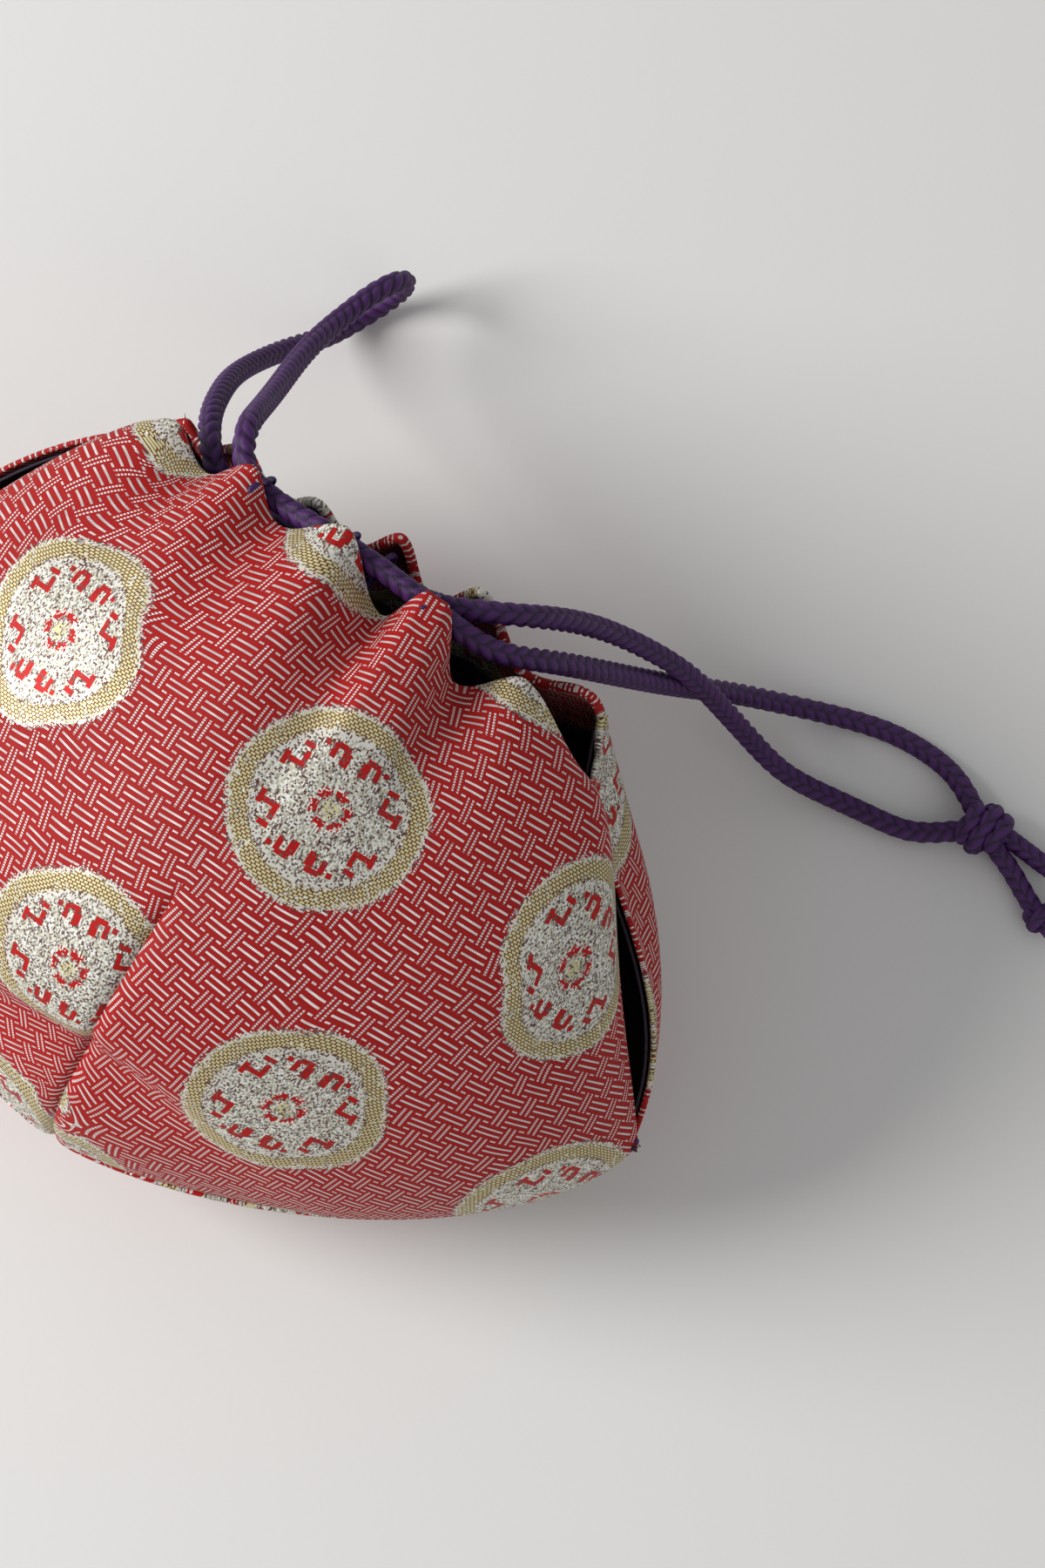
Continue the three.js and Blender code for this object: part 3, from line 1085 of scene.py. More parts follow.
    def surface(self, side: Side, a: Array, t: Array) -> Array:
        """Points of one side on a grid of stations, whose middle column follows the dart.

        Args:
            side: which side is wanted.
            a: stations across.
            t: stations from lip to seam.

        Returns:
            A grid of points, with a row for each t.
        """
        grid_a, grid_t = np.meshgrid(a, t)
        grid_a = grid_a + self.dart_lean * (1 - grid_t) * (1 - grid_a**2)
        return self.front(grid_a, grid_t) if side is Side.FRONT else self.back(grid_a, grid_t)

    def drawn_in(self, side: Side, points: Array) -> Array:
        """Depth that stitching and creases draw the cloth in by.

        A narrow valley follows the dart up from the base, and on the upper side a crease crosses
        above the base, steep above and easing out slowly below.

        Args:
            side: which side the points are on.
            points: grid of points of the surface.

        Returns:
            The depth at each point.
        """
        middle = points.shape[1] // 2
        x, y = points[..., 0] - points[:, middle : middle + 1, 0], points[..., 1]
        below = np.clip((self.dart_top_y - y) / self.dart_end, 0.0, 1.0)
        valley = np.exp(-((np.abs(x) / self.dart_width) ** self.dart_power))
        depth = self.dart_depth * below * valley
        if side is Side.FRONT:
            length = np.exp(-((x / self.crease_reach) ** 2))
            width = np.where(y > self.crease_y, self.crease_width, self.crease_foot)
            depth = depth + self.crease_depth * length * np.exp(-(((y - self.crease_y) / width) ** 2))
        return depth


@dataclass(frozen=True)
class Pin:
    """A point of a panel that shows a known point of the pattern."""

    a: float
    t: float
    across: float
    along: float


FRONT_PINS = (
    Pin(-0.614, 0.076, -73.05, 26.0), Pin(-0.092, 0.058, -24.35, 26.0),
    Pin(0.421, 0.059, 24.35, 26.0), Pin(-0.426, 0.331, -48.7, 0.0), Pin(-0.331, 0.242, -35.9, 8.4),
    Pin(-0.51, 0.425, -61.5, -8.4), Pin(-0.567, 0.259, -57.1, 12.8),
    Pin(-0.333, 0.398, -40.3, -12.8), Pin(0.14, 0.276, 0.0, 0.0), Pin(-0.01, 0.323, -12.8, -8.4),
    Pin(0.295, 0.219, 12.8, 8.4), Pin(0.027, 0.161, -8.4, 12.8), Pin(0.228, 0.384, 8.4, -12.8),
    Pin(0.687, 0.433, 48.7, 0.0), Pin(0.549, 0.471, 36.5, -9.5), Pin(0.667, 0.574, 54.0, -14.0),
    Pin(-0.098, 0.599, -24.35, -40.5), Pin(-0.198, 0.512, -32.8, -27.7),
    Pin(-0.004, 0.687, -16.0, -53.3), Pin(0.308, 0.677, 24.35, -40.5),
    Pin(0.182, 0.714, 11.6, -48.9), Pin(0.438, 0.655, 37.2, -32.1), Pin(0.255, 0.552, 16.0, -27.7),
    Pin(0.359, 0.797, 32.8, -53.3), Pin(0.738, 0.987, 73.05, -40.5), Pin(0.688, 0.779, 59.5, -33.5),
    Pin(-0.075, 0.833, -36.5, -72.5), Pin(0.033, 0.888, 7.3, -64.8),
)
BACK_PINS = (
    Pin(0.0, 0.45, 6.0, -16.2), Pin(0.4, 0.45, 46.0, -16.2), Pin(0.988, 0.243, 73.05, 40.5),
    Pin(0.909, 0.587, 79.5, -2.8),
)


class FlatCloth:
    """A curved panel laid out flat as it was cut, slit up its dart.

    Each triangle of a coarse grid keeps its shape as nearly as it can: in turn each is turned to
    fit, and then all corners are moved to agree. Pins hold known points of the pattern.
    """

    COLUMNS = 25
    ROWS = 33
    CLOSENESS = 0.5
    UNSLIT = 0.5
    LIP_LEVEL = 30.0
    EDGE_WEIGHTS = (0.05, 4.0)
    PASSES = 60
    PIN_WEIGHT = 12.0

    def __init__(self, form: PouchForm, side: Side, pins: tuple[Pin, ...]) -> None:
        """Lays one panel flat.

        Args:
            form: the pouch's form.
            side: which side is laid flat.
            pins: known points of the pattern.
        """
        self.a = graded(self.COLUMNS, self.CLOSENESS)
        self.t = graded(self.ROWS, self.CLOSENESS)
        count = self.ROWS * self.COLUMNS
        left = np.arange(count).reshape(self.ROWS, self.COLUMNS)
        right = count + left
        middle = form.surface(side, np.array([0.0]), self.t)[:, 0, 1]
        whole = (middle > form.dart_top_y) | ((side is Side.BACK) & (self.t < self.UNSLIT))
        right[whole, 0] = left[whole, -1]
        kept, flat_index = np.unique(np.stack([left, right]), return_inverse=True)
        self.index = flat_index.reshape(2, self.ROWS, self.COLUMNS)
        halves = [form.surface(side, -self.a[::-1], self.t), form.surface(side, self.a, self.t)]
        points = np.concatenate([half.reshape(-1, 3) for half in halves])[kept]
        self.triangles = np.concatenate([self.split(part) for part in self.index])
        self.flat = self.relax(points, self.first_guess(halves, kept), pins)

    @staticmethod
    def split(index: Array) -> Array:
        """Two triangles for each cell of a grid.

        Args:
            index: grid of vertex numbers.

        Returns:
            One row of three vertex numbers for each triangle.
        """
        corners = [index[:-1, :-1], index[:-1, 1:], index[1:, 1:], index[1:, :-1]]
        a, b, c, d = (corner.ravel() for corner in corners)
        return np.concatenate([np.stack([a, c, b], 1), np.stack([a, d, c], 1)])

    def first_guess(self, halves: list[Array], kept: Array) -> Array:
        """Lengths along the rows from the middle, and down the columns from the lip.

        Args:
            halves: points of the left and the right half.
            kept: the vertices in use.

        Returns:
            A rough flat place for each vertex.
        """
        guess = []
        for points, middle in zip(halves, (-1, 0)):
            across = run_length(points, 1)
            across = across - across[:, middle][:, None]
            level = self.LIP_LEVEL - run_length(points)
            guess.append(np.stack([across, level], axis=-1).reshape(-1, 2))
        return np.concatenate(guess)[kept]

    def relax(self, points: Array, flat: Array, pins: tuple[Pin, ...]) -> Array:
        """Turns and moves until the flat triangles match the curved ones.

        Each edge weighs as the cotangent of the angle across from it in its triangle.

        Args:
            points: corners on the curved panel.
            flat: first flat places.
            pins: known points of the pattern.

        Returns:
            Final flat places.
        """
        corner = points[self.triangles]
        first, second = corner[:, 1] - corner[:, 0], corner[:, 2] - corner[:, 0]
        base = np.linalg.norm(first, axis=1)
        lead = np.einsum("ij,ij->i", first, second) / base
        height = np.linalg.norm(np.cross(first, second), axis=1) / base
        nothing = np.zeros_like(base)
        shape = np.stack(
            [np.stack([nothing, nothing], 1), np.stack([base, nothing], 1), np.stack([lead, height], 1)],
            axis=1,
        )
        after, before = np.roll(shape, -1, axis=1), np.roll(shape, -2, axis=1)
        one, two = shape - before, after - before
        area = np.abs(one[..., 0] * two[..., 1] - one[..., 1] * two[..., 0])
        weight = np.clip(np.einsum("tcd,tcd->tc", one, two) / area, *self.EDGE_WEIGHTS)
        edges = shape - after
        start, end = self.triangles, np.roll(self.triangles, -1, axis=1)
        count = len(points)
        system = np.zeros((count, count))
        np.add.at(system, (start, start), weight)
        np.add.at(system, (end, end), weight)
        np.add.at(system, (start, end), -weight)
        np.add.at(system, (end, start), -weight)
        hold = np.stack([self.weights_at(pin, count) for pin in pins])
        goal = np.array([(pin.across, pin.along) for pin in pins])
        inverse = np.linalg.inv(system + self.PIN_WEIGHT * hold.T @ hold)
        pull = self.PIN_WEIGHT * hold.T @ goal
        for _ in range(self.PASSES):
            moved = flat[start] - flat[end]
            turn = np.arctan2(
                np.sum(weight * (edges[..., 0] * moved[..., 1] - edges[..., 1] * moved[..., 0]), 1),
                np.sum(weight * np.sum(edges * moved, axis=2), 1),
            )[:, None]
            turned = np.stack(
                [
                    np.cos(turn) * edges[..., 0] - np.sin(turn) * edges[..., 1],
                    np.sin(turn) * edges[..., 0] + np.cos(turn) * edges[..., 1],
                ],
                axis=-1,
            )
            right = pull.copy()
            np.add.at(right, start, weight[..., None] * turned)
            np.add.at(right, end, -weight[..., None] * turned)
            flat = inverse @ right
        return flat

    def weights_at(self, pin: Pin, count: int) -> Array:
        """Shares of the four corners round a pinned point.

        Args:
            pin: the point.
            count: number of vertices.

        Returns:
            A row with the shares in place and zeros elsewhere.
        """
        half = int(pin.a > 0)
        stations = self.a if half else -self.a[::-1]
        column = int(np.clip(np.searchsorted(stations, pin.a) - 1, 0, self.COLUMNS - 2))
        row = int(np.clip(np.searchsorted(self.t, pin.t) - 1, 0, self.ROWS - 2))
        along = (pin.t - self.t[row]) / (self.t[row + 1] - self.t[row])
        across = (pin.a - stations[column]) / (stations[column + 1] - stations[column])
        cell = self.index[half, row : row + 2, column : column + 2]
        weights = np.zeros(count)
        weights[cell] = np.outer([1 - along, along], [1 - across, across])
        return weights

    def halves(self, a: Array, t: Array) -> list[Array]:
        """Cloth coordinates of the left and right halves on a finer grid.

        Args:
            a: stations from 0 to 1 of one half.
            t: stations from lip to seam.

        Returns:
            The left half's and the right half's coordinates.
        """
        rows = spline_weights(self.t, t)
        made = []
        for part, knots, stations in (
            (self.index[0], -self.a[::-1], -a[::-1]),
            (self.index[1], self.a, a),
        ):
            columns = spline_weights(knots, stations)
            made.append(np.einsum("rk,kcd,sc->rsd", rows, self.flat[part], columns))
        return made

    def cut(self) -> tuple[Pair, float]:
        """Measures the flat cloth.

        Returns:
            Its width and length in metres, and its area in square metres.
        """
        corner = self.flat[self.triangles]
        one, two = corner[:, 1] - corner[:, 0], corner[:, 2] - corner[:, 0]
        area = np.abs(one[:, 0] * two[:, 1] - one[:, 1] * two[:, 0]).sum() / 2
        size = np.ptp(self.flat, axis=0) * MM
        return (float(size[0]), float(size[1])), float(area * MM * MM)


@dataclass(frozen=True)
class Layer:
    """A layer of cloth that both sides have, the ends of its names, and its slot and grid.

    Depth is measured in from the form. The hem is what the lip is thicker by. The insets are shares
    of the way from lip to seam and from slit to middle.
    """

    piece: str
    node: str
    slot: str
    columns: int
    rows: int
    depth: float
    thickness: float
    hem: float = 0.0
    front_inset: float = 0.0
    back_inset: float = 0.0
    slit_inset: float = 0.0


PANEL = Layer("brocade", "panel", "brocade", columns=100, rows=150, depth=0.0, thickness=0.9, hem=0.8)
LINING = Layer(
    "lining_silk",
    "lining",
    "lining",
    columns=60,
    rows=80,
    depth=1.3,
    thickness=0.5,
    front_inset=0.06,
    back_inset=0.09,
    slit_inset=0.01,
)


@dataclass
class ClothSide:
    """One layer of one side, a closed shell with rounded edges."""

    form: PouchForm
    side: Side
    flat: FlatCloth
    layer: Layer

    HEM_LENGTH = 5.0
    ACROSS_CLOSENESS = 0.9
    DOWN_CLOSENESS = 0.86
    RIM_POWER = 40

    def build(self, maker: PieceMaker, finish: bpy.types.Material) -> bpy.types.Object:
        """Makes the shell: outer and inner faces that roll together at every edge.

        The two faces lie along the inward normal, and near an edge each follows a quarter circle
        towards the middle of the cloth, so that they meet in a round edge. The hem is thicker.

        Args:
            maker: makes the piece.
            finish: material of the cloth.

        Returns:
            The piece.
        """
        layer = self.layer
        inset = layer.front_inset if self.side is Side.FRONT else layer.back_inset
        a = graded(layer.columns, self.ACROSS_CLOSENESS) * (1.0 - layer.slit_inset)
        t = blend(inset, 1.0, graded(layer.rows, self.DOWN_CLOSENESS))
        points = self.form.surface(self.side, mirrored(a), t)
        inward = -self.normals(points, mirrored(a), t)
        hem = np.sqrt(np.clip(1 - run_length(points) / self.HEM_LENGTH, 0.0, 1.0))
        thickness = layer.thickness + layer.hem * hem
        radius = thickness / 2
        edge = np.minimum(self.edge_distance(points), radius)
        roll = radius - np.sqrt(radius**2 - (radius - edge) ** 2)
        sunk = layer.depth + self.form.drawn_in(self.side, points)
        outer = points + inward * (sunk + roll)[..., None]
        inner = points + inward * (sunk + thickness - roll)[..., None]
        patches = []
        cloth = self.flat.halves(a, t)
        middle = layer.columns - 1
        for face, inside in ((outer, False), (inner, True)):
            flipped = (self.side is Side.FRONT) != inside
            patches.append(Patch(face[:, : middle + 1], cloth[0], flipped))
            patches.append(Patch(face[:, middle:], cloth[1], flipped))
        return maker.make(f"{self.side.value}_{layer.piece}", patches, finish)

    def normals(self, points: Array, a: Array, t: Array) -> Array:
        """Outward directions, made level at the seam and the slits where two sides meet.

        Args:
            points: points of the surface.
            a: stations across.
            t: stations from lip to seam.

        Returns:
            Unit vectors.
        """
        cross = np.cross(np.gradient(points, axis=1), np.gradient(points, axis=0))
        normal = unit(cross) * (-1.0 if self.side is Side.FRONT else 1.0)
        rim = np.maximum(np.abs(a)[None, :], t[:, None])
        normal[..., 2] *= 1.0 - rim**self.RIM_POWER
        return unit(normal)

    @staticmethod
    def edge_distance(points: Array) -> Array:
        """Distance along the cloth to the nearest of its four edges."""
        down, across = run_length(points), run_length(points, 1)
        return np.minimum.reduce([down, down[-1:] - down, across, across[:, -1:] - across])


class Braid:
    """A round braid carried along a path, whose rings start square to a reference direction."""

    REFERENCE = np.array([-0.274, -0.185, 0.944])
    RELIEF = 0.3
    DENSE = 60
    FEWEST = 8

    def __init__(self, path: Array, diameter: float) -> None:
        """Keeps the path and the size.

        Args:
            path: evenly spaced points of the middle line.
            diameter: outside diameter of the braid.
        """
        self.path = path
        self.radius = diameter / 2

    @classmethod
    def route(cls, points: Array, step: float) -> Array:
        """A smooth line through points, as evenly spaced points.

        A natural cubic spline runs through the points on the square roots of their distances, and
        is then read at even lengths.

        Args:
            points: points to pass through.
            step: wanted spacing.

        Returns:
            Points of the line.
        """
        knots = run_length(points, power=0.5)
        dense = spline_weights(knots, np.linspace(0.0, knots[-1], cls.DENSE * len(points))) @ points
        length = run_length(dense)
        even = np.linspace(0.0, length[-1], max(cls.FEWEST, int(length[-1] / step)))
        return np.stack([np.interp(even, length, dense[:, axis]) for axis in range(3)], axis=1)

    def length(self) -> float:
        """Length of the middle line."""
        return float(run_length(self.path)[-1])

    def patch(self, segments: int = CORD_SEGMENTS) -> Patch:
        """The tube's surface, closed at both ends.

        Its radius follows zigzag ridges round the cord, one stitch apart along it, with a parting
        where the zigzags turn back.

        Args:
            segments: faces round the cord.

        Returns:
            The surface, with the way round and the way along as its cloth coordinates.
        """
        tangent = unit(np.gradient(self.path, axis=0))
        sideways = unit(np.cross(tangent, self.REFERENCE))
        upward = np.cross(sideways, tangent)
        along = np.linspace(0.0, self.length(), len(self.path))[:, None]
        angle = np.linspace(0.0, 2 * math.pi, segments + 1)[None, :]
        turn = angle * PLAIT.zigzags / (2 * math.pi)
        leg = turn - np.floor(turn) - 0.5
        phase = along / PLAIT.stitch + 2 * PLAIT.slant * np.abs(leg) + 0.5 * (leg > 0)
        ridge = np.abs(np.sin(math.pi * phase)) ** PLAIT.stitch_power
        column = np.abs(np.sin(2 * math.pi * turn)) ** PLAIT.parting_power
        crest = ridge * (1 - PLAIT.parting + PLAIT.parting * column)
        radius = self.radius * (1 - self.RELIEF * (1 - crest))
        ends = np.ones(len(self.path))
        ends[[0, -1]] = 0.0
        radius = radius * ends[:, None]
        ring = np.cos(angle)[..., None] * sideways[:, None] + np.sin(angle)[..., None] * upward[:, None]
        points = self.path[:, None] + radius[..., None] * ring
        points[:, -1] = points[:, 0]
        round_way = np.broadcast_to(turn * PLAIT.zigzag_width, radius.shape)
        cloth = np.stack([round_way, np.broadcast_to(along, radius.shape)], axis=-1)
        return Patch(points, cloth)


@dataclass(frozen=True)
class Wrap:
    """Turns of a braid round an axis, as in a knot, flattened in height and tucked in at the ends."""

    radii: Pair
    turns: float
    length: float
    diameter: float

    POINTS_PER_TURN = 90
    TUCK = 0.55
    TUCK_START = 0.38

    def patch(self, centre: Array, axis: Array) -> Patch:
        """The braid's surface along a helix, whose radius shrinks towards both ends.

        Args:
            centre: middle of the helix.
            axis: direction of its axis.

        Returns:
            The surface.
        """
        share = np.linspace(-0.5, 0.5, int(self.POINTS_PER_TURN * self.turns))
        angle = 2 * math.pi * self.turns * share + math.pi / 2
        level = unit(np.cross(UPRIGHT, axis))
        upright = np.cross(axis, level)
        past = np.clip((np.abs(share) - self.TUCK_START) / (0.5 - self.TUCK_START), 0.0, 1.0)
        tuck = 1.0 - self.TUCK * past**2
        line = (
            centre
            + (self.length * share)[:, None] * axis
            + (self.radii[0] * tuck * np.cos(angle))[:, None] * level
            + (self.radii[1] * tuck * np.sin(angle))[:, None] * upright
        )
        return Braid(line, self.diameter).patch(KNOT_SEGMENTS)


@dataclass
class Drawstring:
    """The braided cord: one length through the mouth's loops, its knot, two tails and their ends."""

    diameter: float = 3.5
    fullness: float = 0.2
    step: float = 0.3
    path_stride: int = 8
    route: tuple[Triple, ...] = (
        (92.0, 35.4, 3.7), (86.4, 38.6, 2.3), (80.4, 39.6, 2.05), (73.3, 39.1, 2.05),
        (64.8, 36.6, 2.8), (56.8, 32.9, 6.4), (50.0, 28.5, 14.0), (44.1, 22.9, 25.8),
        (39.8, 18.3, 37.0), (35.6, 13.9, 48.5), (31.6, 10.1, 58.0), (26.9, 6.0, 66.6),
        (20.6, 2.6, 72.0), (10.4, 2.4, 75.3), (-4.7, 3.4, 75.8), (-21.0, 4.6, 71.1),
        (-25.6, 6.9, 70.8), (-27.9, 10.8, 70.0), (-29.4, 14.8, 64.6), (-30.9, 18.8, 56.3),
        (-33.0, 25.0, 45.0), (-35.1, 32.6, 33.6), (-36.0, 40.4, 24.5), (-35.4, 47.2, 19.4),
        (-34.2, 52.0, 17.6), (-32.8, 55.8, 15.3), (-32.5, 57.8, 10.2), (-33.8, 56.4, 4.9),
        (-36.0, 52.6, 2.5), (-38.0, 47.8, 3.4), (-39.5, 43.2, 7.2), (-41.3, 37.6, 14.0),
        (-42.1, 30.1, 26.0), (-40.9, 22.8, 40.0), (-38.8, 17.3, 50.0), (-36.4, 12.4, 57.3),
        (-33.2, 8.0, 61.4), (-28.4, 4.4, 61.7), (-13.8, 2.8, 64.7), (-0.2, 4.6, 66.5),
        (8.4, 4.2, 68.9), (15.4, 6.2, 71.2), (21.4, 9.8, 69.2), (26.4, 14.3, 61.5),
        (31.7, 18.5, 51.0), (38.0, 21.5, 41.0), (43.7, 23.3, 32.0), (49.5, 23.9, 22.0),
        (56.0, 23.8, 12.5), (63.5, 23.6, 5.6), (71.6, 24.9, 2.5), (79.2, 26.0, 2.05),
        (85.4, 27.4, 2.3), (92.0, 31.6, 3.7),
    )
    tails: tuple[tuple[Triple, ...], ...] = (
        ((97.2, 32.2, 3.8), (102.2, 30.4, 2.3), (106.8, 28.0, 2.05)),
        ((97.4, 34.6, 3.8), (102.6, 34.5, 2.3), (107.2, 34.2, 2.05), (111.4, 34.2, 2.05)),
    )
    knot_centre: Triple = (94.6, 33.5, 4.3)
    knot_axis: Triple = (0.98, -0.2, -0.04)
    knot_wrap: Wrap = Wrap(radii=(3.1, 2.4), turns=2.3, length=5.4, diameter=3.3)
    strand_diameter: float = 3.4
    strand_offset: Triple = (0.0, 0.9, -0.6)
    end_wrap: Wrap = Wrap(radii=(1.5, 1.25), turns=1.6, length=2.6, diameter=2.7)
    end_flatness: Triple = (1.0, 1.0, 0.2)
    tail_overlap: float = 0.5
    stub_diameter: float = 3.0
    stub_reach: Triple = (0.0, 2.0, 3.4)

    def build(self, maker: PieceMaker, finish: bpy.types.Material) -> None:
        """Args:
            maker: makes the pieces.
            finish: material of the braid.
        """
        line = Braid.route(np.array(self.route), self.step)
        braid = Braid(line, self.diameter + self.fullness)
        cord = maker.make("drawstring_braid", [braid.patch()], finish)
        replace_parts(cord, "drawstring")
        pieces = [self.knot(maker, finish)]
        for place, tail in enumerate(self.tails, start=1):
            pieces += self.tail(maker, finish, place, np.array(tail))
        path = maker.placing.metres(line[:: self.path_stride])
        round(braid.length()) * MM

    def strand(self, points: Array, diameter: float) -> Patch:
        """A short run of braid through points, with the knots' fewer faces round it."""
        return Braid(Braid.route(points, self.step), diameter).patch(KNOT_SEGMENTS)

    def knot(self, maker: PieceMaker, finish: bpy.types.Material) -> bpy.types.Object:
        """The knot: a wrap of cord round the two strands, which pass through it to the tails.

        Args:
            maker: makes the piece.
            finish: material of the braid.

        Returns:
            The piece.
        """
        centre = np.array(self.knot_centre)
        patches = [self.knot_wrap.patch(centre, unit(np.array(self.knot_axis)))]
        for end, tail, side in ((0, 1, 1.0), (-1, 0, -1.0)):
            middle = centre + np.array(self.strand_offset) * np.array([1.0, side, 1.0])
            through = np.array([self.route[end], middle, self.tails[tail][0]])
            patches.append(self.strand(through, self.strand_diameter))
        piece = maker.make("knot_wrap", patches, finish)
        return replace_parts(piece, "drawstring_knot")

    def tail(
        self, maker: PieceMaker, finish: bpy.types.Material, place: int, points: Array
    ) -> list[bpy.types.Object]:
        """One tail past the knot, and the small knot that stops it from fraying.

        Args:
            maker: makes the pieces.
            finish: material of the braid.
            place: 1 or 2, the tail's number.
            points: points of the tail.

        Returns:
            The tail and its end knot.
        """
        centre = maker.placing.centre(f"drawstring_end_{place}")
        axis = unit((centre - points[-1]) * np.array(self.end_flatness))
        run = Braid.route(np.vstack([points, centre + axis * self.tail_overlap]), self.step)
        tail = maker.make(f"tail_braid_{place}", [Braid(run, self.diameter).patch()], finish)
        stub = centre + np.outer(self.stub_reach, axis)
        patches = [self.end_wrap.patch(centre, axis), self.strand(stub, self.stub_diameter)]
        end = maker.make(f"end_knot_{place}", patches, finish)
        return [
            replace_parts(tail, f"drawstring_tail_{place}"),
            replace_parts(end, f"drawstring_end_{place}"),
        ]


@dataclass
class Stitching:
    """Hand-sewn thread: the loops that carry the cord, and the bar tacks at the slits' ends."""

    thread: float = 1.0
    loops: int = 3
    stitch: Triple = (0.0, -1.2, 3.5)
    snug: float = 2.25
    sunk: float = 1.6
    ply_depth: float = 0.14
    ply_turns: int = 14
    rib_depth: float = 0.15
    rib_turns: int = 14
    end_power: float = 6.0

    LOOP_GRID = (97, 17)
    TACK_GRID = (91, 33)

    def build(self, maker: PieceMaker, finish: bpy.types.Material) -> None:
        """Makes every loop and tack in place of its solid.

        Args:
            maker: makes the pieces.
            finish: material of the thread.
        """
        for side in Side:
            for place in range(1, self.loops + 1):
                node = f"{side.value}_loop_{place}"
                piece = maker.make(f"{side.value}_thread_loop_{place}", [self.loop(maker, node)], finish)
                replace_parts(piece, node)
        for hand in ("right", "left"):
            node = f"{hand}_slit_tack"
            piece = maker.make(f"{hand}_bar_tack", [self.tack(maker, node)], finish)
            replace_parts(piece, node)

    @staticmethod
    def size(node: str) -> Array:
        """Size of a solid's box in millimetres."""
        low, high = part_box(node)
        return (np.array(high) - np.array(low)) / MM

    def loop(self, maker: PieceMaker, node: str) -> Patch:
        """A ring of two twisted threads, in the upright plane that its solid lies in.

        The ring's radius comes from the solid's box, and the section swells twice a turn while it
        winds along the ring. On the front it is snug round the cord and drawn out over the lip, to
        show there as a stitch.

        Args:
            maker: gives the solid's place.
            node: the solid's name.

        Returns:
            The ring's surface.
        """
        size = self.size(node)
        front = node.startswith(Side.FRONT.value)
        reach = np.array(self.stitch) * float(front)
        ring = (size.max() - self.thread) / 2
        slant = np.clip((size[:2] - self.thread) / (2 * ring), 0.0, 1.0)
        ring = self.snug if front else ring
        flat = unit(np.array([slant[0], slant[1], 0.0]))
        around = np.linspace(0.0, 2 * math.pi, self.LOOP_GRID[0])[:, None]
        angle = np.linspace(0.0, 2 * math.pi, self.LOOP_GRID[1])[None, :]
        swell = 1 - self.ply_depth + self.ply_depth * np.cos(2 * angle + self.ply_turns * around)
        thick = self.thread / 2 * swell
        out = np.cos(around)[..., None] * flat + np.sin(around)[..., None] * UPRIGHT
        axis = np.cross(flat, UPRIGHT)
        points = maker.placing.centre(node) + out * (ring + thick * np.cos(angle))[..., None]
        points = points + axis * (thick * np.sin(angle))[..., None]
        points = points + np.maximum(0.0, out @ unit(np.array(self.stitch)))[..., None] ** 2 * reach
        cloth = np.stack(np.broadcast_arrays(angle * self.thread / 2, around * ring), axis=-1)
        return Patch(points, cloth, True)

    def tack(self, maker: PieceMaker, node: str) -> Patch:
        """A short upright bar wound with thread, ribbed once for each turn and rounded at its ends.

        It is sunk into the corner of the cloth that it closes.

        Args:
            maker: gives the solid's place.
            node: the solid's name.

        Returns:
            The bar's surface.
        """
        size = self.size(node)
        centre = maker.placing.centre(node)
        centre[0] -= math.copysign(self.sunk, centre[0])
        radius = size[0] / 2
        share = np.linspace(-1.0, 1.0, self.TACK_GRID[0])[:, None]
        angle = np.linspace(0.0, 2 * math.pi, self.TACK_GRID[1])[None, :]
        winding = self.rib_turns * math.pi * share + angle
        rib = 1 - self.rib_depth + self.rib_depth * np.cos(winding)
        width = radius * rib * np.sqrt(np.maximum(0.0, 1.0 - np.abs(share) ** self.end_power))
        points = np.stack(
            np.broadcast_arrays(
                centre[0] + width * np.cos(angle),
                centre[1] + width * np.sin(angle),
                centre[2] + size[2] / 2 * share,
            ),
            axis=-1,
        )
        cloth = np.stack(np.broadcast_arrays(share * size[2] / 2, angle * radius), axis=-1)
        return Patch(points, cloth)


@dataclass(frozen=True)
class Lamp:
    """A round soft lamp, aimed at the pouch, in metres and watts."""

    name: str
    place: Triple
    size: float
    power: float

    TARGET = np.array([0.0, 0.0, 0.03])

    def hang(self) -> None:
        """Puts the lamp into the scene."""
        data = bpy.data.lights.new(self.name, "AREA")
        data.shape = "DISK"
        data.size = self.size
        data.energy = self.power
        lamp = bpy.data.objects.new(self.name, data)
        place = np.array(self.place)
        back = unit(place - self.TARGET)
        right = unit(np.cross(UPRIGHT, back))
        lamp.matrix_world = aimed(right, np.cross(back, right), place)
        bpy.context.scene.collection.objects.link(lamp)


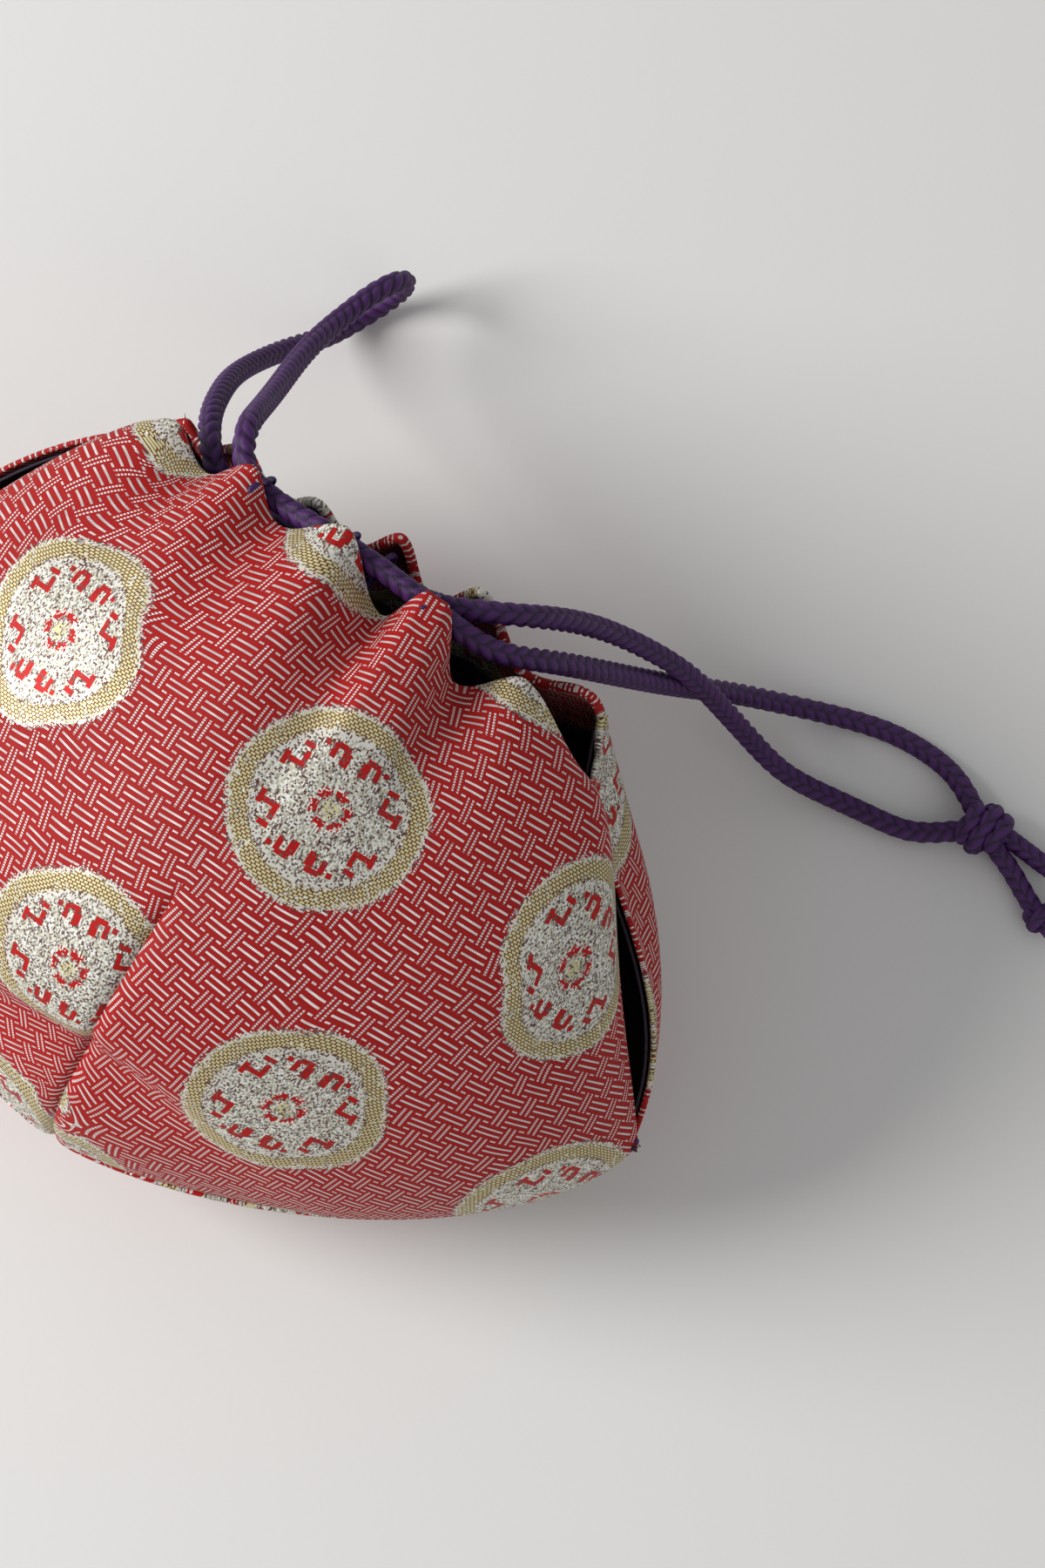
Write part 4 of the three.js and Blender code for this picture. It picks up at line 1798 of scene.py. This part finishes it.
@dataclass(frozen=True)
class Studio:
    """Camera, pale floor and soft light: a large lamp to the left and a weak one to the right."""

    eye: Triple = (101.41, -113.19, 693.93)
    right: Triple = (0.8387, 0.5446, 0.0)
    up: Triple = (-0.5346, 0.8233, 0.1908)
    lens: float = 100.0
    sensor: float = 36.0
    nearest: float = 0.01
    floor_size: float = 8.0
    lamps: tuple[Lamp, ...] = (
        Lamp("key_lamp", (-0.76, -0.38, 0.58), size=0.6, power=11.0),
        Lamp("fill_lamp", (0.9, -0.2, 0.8), size=0.9, power=1.2),
    )
    sky: Colour = (0.95, 0.97, 1.0)
    sky_strength: float = 0.37

    def camera(self, placing: Placing) -> None:
        """Sets the camera at the photograph's viewing angle.

        Args:
            placing: the pouch's place in the frame.
        """
        data = bpy.data.cameras.new("camera")
        data.lens = self.lens
        data.sensor_width = self.sensor
        data.clip_start = self.nearest
        eye = bpy.data.objects.new("camera", data)
        right, up = unit(np.array(self.right)), unit(np.array(self.up))
        eye.matrix_world = aimed(right, up, placing.metres(np.array(self.eye)))
        bpy.context.scene.collection.objects.link(eye)
        bpy.context.scene.camera = eye

    def floor(self) -> None:
        """Lays the floor under the pouch."""
        half = self.floor_size / 2
        corners = [(-half, -half, 0.0), (half, -half, 0.0), (half, half, 0.0), (-half, half, 0.0)]
        mesh = bpy.data.meshes.new("floor")
        mesh.from_pydata(corners, [], [(0, 1, 2, 3)])
        mesh.materials.append(PaleFloor().material())
        floor = bpy.data.objects.new("floor", mesh)
        bpy.context.scene.collection.objects.link(floor)
        floor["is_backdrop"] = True

    def light(self) -> None:
        """Hangs the lamps under an even pale sky."""
        for lamp in self.lamps:
            lamp.hang()
        world = bpy.data.worlds.new("studio")
        world.use_nodes = True
        sky = world.node_tree.nodes["Background"]
        sky.inputs["Color"].default_value = (*self.sky, 1.0)
        sky.inputs["Strength"].default_value = self.sky_strength
        bpy.context.scene.world = world
        bpy.context.scene.view_settings.view_transform = "Standard"


def write_sizes(solids: tuple, dressed: tuple) -> None:
    """Turns the solids' box and the dressed pouch's box into plain lists of numbers, which are not kept.

    Args:
        solids: lowest and highest corner of the solids.
        dressed: lowest and highest corner of the dressed pouch.
    """
    boxes = {"cad": solids, "visual": dressed}
    plain = {name: [[float(v) for v in corner] for corner in box] for name, box in boxes.items()}


def main() -> None:
    """Builds the pouch piece by piece on its frame."""
    logging.basicConfig(level=logging.INFO, format="%(name)s: %(message)s")
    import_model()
    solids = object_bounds()
    form = PouchForm()
    placing = Placing.from_tacks(form.ear_y, form.ear_z)
    maker = PieceMaker(placing)
    studio = Studio()
    studio.camera(placing)
    Drawstring().build(maker, SilkCord().material())
    Stitching().build(maker, SewingSilk().material())
    layers = ((PANEL, Brocade().material()), (LINING, LiningCloth().material()))
    for side, pins in ((Side.FRONT, FRONT_PINS), (Side.BACK, BACK_PINS)):
        flat = FlatCloth(form, side, pins)
        size, area = flat.cut()
        LOG.info("%s cut: %.1f x %.1f mm, %.0f mm2", side.value, size[0] / MM, size[1] / MM, area / MM**2)
        for layer, finish in layers:
            cloth = ClothSide(form, side, flat, layer).build(maker, finish)
            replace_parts(cloth, f"{side.value}_{layer.node}")
    studio.floor()
    studio.light()
    write_sizes(solids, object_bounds())


if __name__ == "__main__":
    main()
